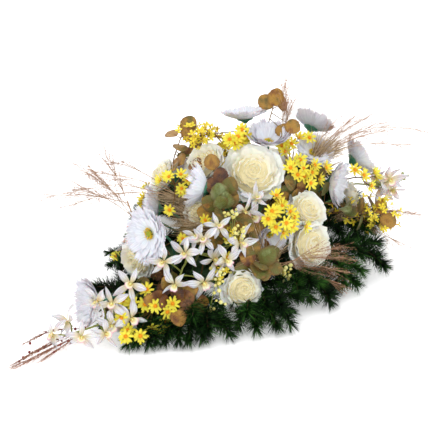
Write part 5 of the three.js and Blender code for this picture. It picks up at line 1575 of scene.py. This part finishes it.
def side_twig(line, at, turn, length, lift):
    """A twig that leaves a line sideways: turned in the plan by some degrees, and lifted at its tip."""
    k = int(at * (len(line) - 1))
    way = line[min(k + 1, len(line) - 1)] - line[max(k - 1, 0)]
    a = math.atan2(way[1], way[0]) + math.radians(turn)
    reach = length * np.array([math.cos(a), math.sin(a), 0])
    start = line[k]
    end = start + reach + [0, 0, lift]
    end[:2] = np.clip(end[:2], *twig_limits)
    end[2] = max(end[2], LOWEST_TIP)
    half = start + reach * 0.5 + [0, 0, 0.5 * (end[2] - start[2]) + 6]
    return smooth_line([start, half, end], 14)


# %% [markdown]
# Each branch stands in the side of the foam at its root and runs out to its first tip. The ways to its
# other tips leave it further and further inwards, the first a little beyond a third of its length.

# %% Lines of the pine branches
# The place of each root, the main tip, and then the side tips.
PINES = {
    "pine_branch_01": [(-222, -2), (-318, -46, 24), (-262, -92, 26), (-268, 34, 28)],
    "pine_branch_02": [(-150, -38), (-222, -130, 28), (-176, -180, 26)],
    "pine_branch_03": [(-66, -70), (-112, -222, 26), (-60, -240, 26)],
    "pine_branch_04": [(18, -84), (-4, -240, 26), (40, -252, 22)],
    "pine_branch_05": [(118, -86), (92, -266, 26), (186, -236, 36)],
    "pine_branch_06": [(208, -36), (292, -112, 30), (240, -176, 46), (310, -40, 32)],
    "pine_branch_07": [(208, 36), (306, 34, 30), (278, 108, 30), (232, 160, 32), (284, 20, 96)],
    "pine_branch_08": [(118, 86), (172, 206, 28), (112, 224, 30), (178, 134, 86)],
    "pine_branch_09": [(20, 84), (46, 222, 28), (-14, 210, 30), (34, 144, 96)],
    "pine_branch_10": [(-90, 62), (-40, 172, 30), (-102, 114, 28), (-184, 86, 34), (-112, 74, 70)],
}
# Heights of a branch at the side of the foam, inside the foam, and on the way out.
ROOT_HEIGHT, SUNK_HEIGHT, ARCH_HEIGHT = 33, 31, 44
FIRST_FORK, FORK_STEP = 0.36, 0.07  # the place of the first fork, and the step inwards to each next one
FORK_PLACES = 1000


def branch_paths(root, tip, *side_tips):
    """The main path of a branch from inside the foam to its tip, and the path from it to each side tip."""
    root, tip = np.array([*root, ROOT_HEIGHT], float), np.array(tip, float)
    foot, fork, middle = [root + (tip - root) * share for share in (-0.17, 0.34, 0.68)]
    foot[2], fork[2], middle[2] = SUNK_HEIGHT, ARCH_HEIGHT, ARCH_HEIGHT
    main = [foot, root, fork, middle, tip]
    along = smooth_line(main, FORK_PLACES + 1)
    paths = [main]
    for side, end in enumerate(side_tips):
        start = along[int(round(FORK_PLACES * (FIRST_FORK - FORK_STEP * side)))]
        half = (start + end) / 2
        half[2] += 0.1 * np.linalg.norm(end - start)
        paths.append([start, half, end])
    return [np.round(path) for path in paths]


# %% [markdown]
# The rim is thickest in front, where the photograph shows a dense fringe of short twigs. Some ways stay
# short and small, because the table shows close behind them.

# %% Make the pine
# Which ways of a branch stay small, and how much shorter their needles and side twigs are.
SMALL_WAYS = {"pine_branch_01": (0, 2), "pine_branch_09": (1,), "pine_branch_10": (0, 1, 2, 3)}
SMALL_NEEDLES, SMALL_TWIGS = 0.62, 0.4
# Where the side twigs leave each way, and by how many degrees they turn.
SIDE_TWIGS = [(0.45, 38), (0.55, -38), (0.72, 34), (0.78, -34)]
# Twigs that hide the foam: the turn, and the bounds of their lift. The first three point outwards.
OUTWARD_TWIGS = [(-42, 26, 44), (8, 26, 44), (50, 26, 44)]
INWARD_TWIGS = [(140, 24, 38), (205, 26, 42)]
# Twigs that fill the rim in front, each from a place on the branch to a tip.
RIM_TWIGS = {
    "pine_branch_01": [
        ((-256, -60, 40), (-290, -98, 20)), ((-258, -70, 36), (-264, -118, 20)),
        ((-262, -84, 32), (-312, -108, 18)), ((-258, -88, 32), (-288, -130, 18)),
        ((-262, -96, 30), (-298, -116, 18)), ((-246, -92, 32), (-274, -134, 18)),
    ],
    "pine_branch_02": [
        ((-206, -112, 38), (-236, -130, 20)), ((-176, -130, 44), (-200, -160, 20)),
        ((-214, -122, 34), (-262, -146, 18)), ((-196, -140, 34), (-234, -172, 18)),
        ((-216, -132, 32), (-246, -160, 18)), ((-182, -146, 36), (-212, -184, 18)),
        ((-174, -152, 36), (-172, -206, 18)),
    ],
    "pine_branch_03": [
        ((-96, -176, 42), (-146, -204, 20)), ((-100, -186, 42), (-132, -230, 20)),
        ((-84, -200, 40), (-102, -250, 20)), ((-66, -210, 42), (-80, -260, 20)),
    ],
    "pine_branch_06": [
        ((222, -62, 40), (198, -140, 66)), ((226, -70, 42), (184, -150, 50)),
    ],
}

for node, (root, *tips) in PINES.items():
    piece = Piece()
    lines = [smooth_line(path, 26) for path in branch_paths(root, *tips)]
    for k, line in enumerate(lines):
        tone = draw.uniform(0.2, 0.7)
        small = k in SMALL_WAYS.get(node, ())
        share = SMALL_NEEDLES if small else 1.0
        brush(piece, line, 0.3 if k == 0 else 0.12, tone, share)
        for at, turn in SIDE_TWIGS:
            length = draw.uniform(46, 66) * (1.15 - 0.4 * at) * (SMALL_TWIGS if small else 1.0)
            twig = side_twig(line, at, turn + draw.uniform(-8, 8), length, draw.uniform(-14, 10))
            brush(piece, twig, 0.1, min(1, tone + draw.uniform(-0.15, 0.2)), share)
    for start, tip in RIM_TWIGS.get(node, []):
        half = np.add(start, tip) / 2 + [0, 0, 5]
        brush(piece, smooth_line([start, half, tip], 14), 0.1, draw.uniform(0.3, 0.6))
    outward = [] if node == "pine_branch_10" else OUTWARD_TWIGS
    for turn, low, high in outward + INWARD_TWIGS:
        turn += draw.uniform(-8, 8)
        length = draw.uniform(40, 58)
        twig = side_twig(lines[0], 0.3, turn, length, draw.uniform(low, high))
        brush(piece, twig, 0.1, draw.uniform(0.05, 0.3))
    done(piece, node, node + "_brushes", "pine")

# %% [markdown]
# ## The foam block
#
# Dry foam is cut to a teardrop with a blunt knife, so its edges are rounded and its surface is porous.
# The block is lofted: rounded sections stand along its length and get narrower to the tail.

# %% Make the foam
SECTIONS, SIDES = 44, 28
NARROWEST = 8  # half the width of the block at both its ends
FLATTER = 1.35  # how much further than an ellipse a section reaches before its faces cut it off
PORES_FROM = 50  # the height above which the top is sunk a little


def half_width_at(x):
    """Half the width of the teardrop at a place along its length."""
    if x < FOAM["belly"]:
        share = (FOAM["belly"] - x) / (FOAM["belly"] - FOAM["tail"])
        return FOAM["half_width"] * max(0, math.cos(math.pi / 2 * min(1, share))) ** 0.9
    share = (x - FOAM["belly"]) / (FOAM["head"] - FOAM["belly"])
    return FOAM["half_width"] * math.sqrt(max(0, 1 - min(1, share) ** 2))


def flattened(value):
    return max(-1, min(1, FLATTER * value))


def foam_section(x):
    """One ring of points round the foam, uneven everywhere but on its flat underside."""
    half = max(half_width_at(x), NARROWEST)
    ring = []
    for k in range(SIDES):
        a = (k + 0.5) * math.tau / SIDES
        y = half * flattened(math.cos(a))
        z = FOAM["height"] / 2 * (1 + flattened(math.sin(a)))
        uneven = 0.0 if z < 1 else 1.5 * math.sin(0.21 * x + 3 * a) * math.sin(0.13 * x + k)
        sunk = 0.6 * abs(uneven) if z > PORES_FROM else 0
        ring.append((x, y * (1 - 0.01 * uneven), z - sunk))
    return ring


around = np.linspace(0.06, math.pi - 0.06, SECTIONS)
stations = FOAM["tail"] + (FOAM["head"] - FOAM["tail"]) * (1 - np.cos(around)) / 2
rings = [foam_section(x) for x in stations]
ends = [np.mean(rings[0], axis=0), np.mean(rings[-1], axis=0)]
points = np.vstack([np.array(rings).reshape(-1, 3), ends])
grain = np.tile([0.0, 0.0, 0.5], (len(points), 1))
faces = [group[:, ::-1] for group in rings_joined(SIDES, SECTIONS)]

piece = Piece()
piece.skin(points, faces, foam_green, grain)
done(piece, "foam_block", "foam_block_porous", "foam")
print("all pieces:", total, "triangles")

# %% [markdown]
# ## Finishing
#
# The table is a plain white sheet that is not part of the wreath.

# %% Table and end
TABLE_HALF = 9  # half the side of the table, in metres
TABLE_GLOW = 0.38  # a little light of its own keeps the table as white as in the photograph

corners = [(-TABLE_HALF, -TABLE_HALF, 0), (TABLE_HALF, -TABLE_HALF, 0)]
corners += [(TABLE_HALF, TABLE_HALF, 0), (-TABLE_HALF, TABLE_HALF, 0)]
table_mesh = bpy.data.meshes.new("table")
table_mesh.from_pydata(corners, [], [(0, 1, 2, 3)])
table = bpy.data.objects.new("table", table_mesh)
stage.collection.objects.link(table)
white = Recipe("table_white", 0.9, Emission_Color=(1, 1, 1, 1), Emission_Strength=TABLE_GLOW)
table_mesh.materials.append(white.finish(white.mix(white.noise(3), paint("fdfdff"), paint("ffffff"))))
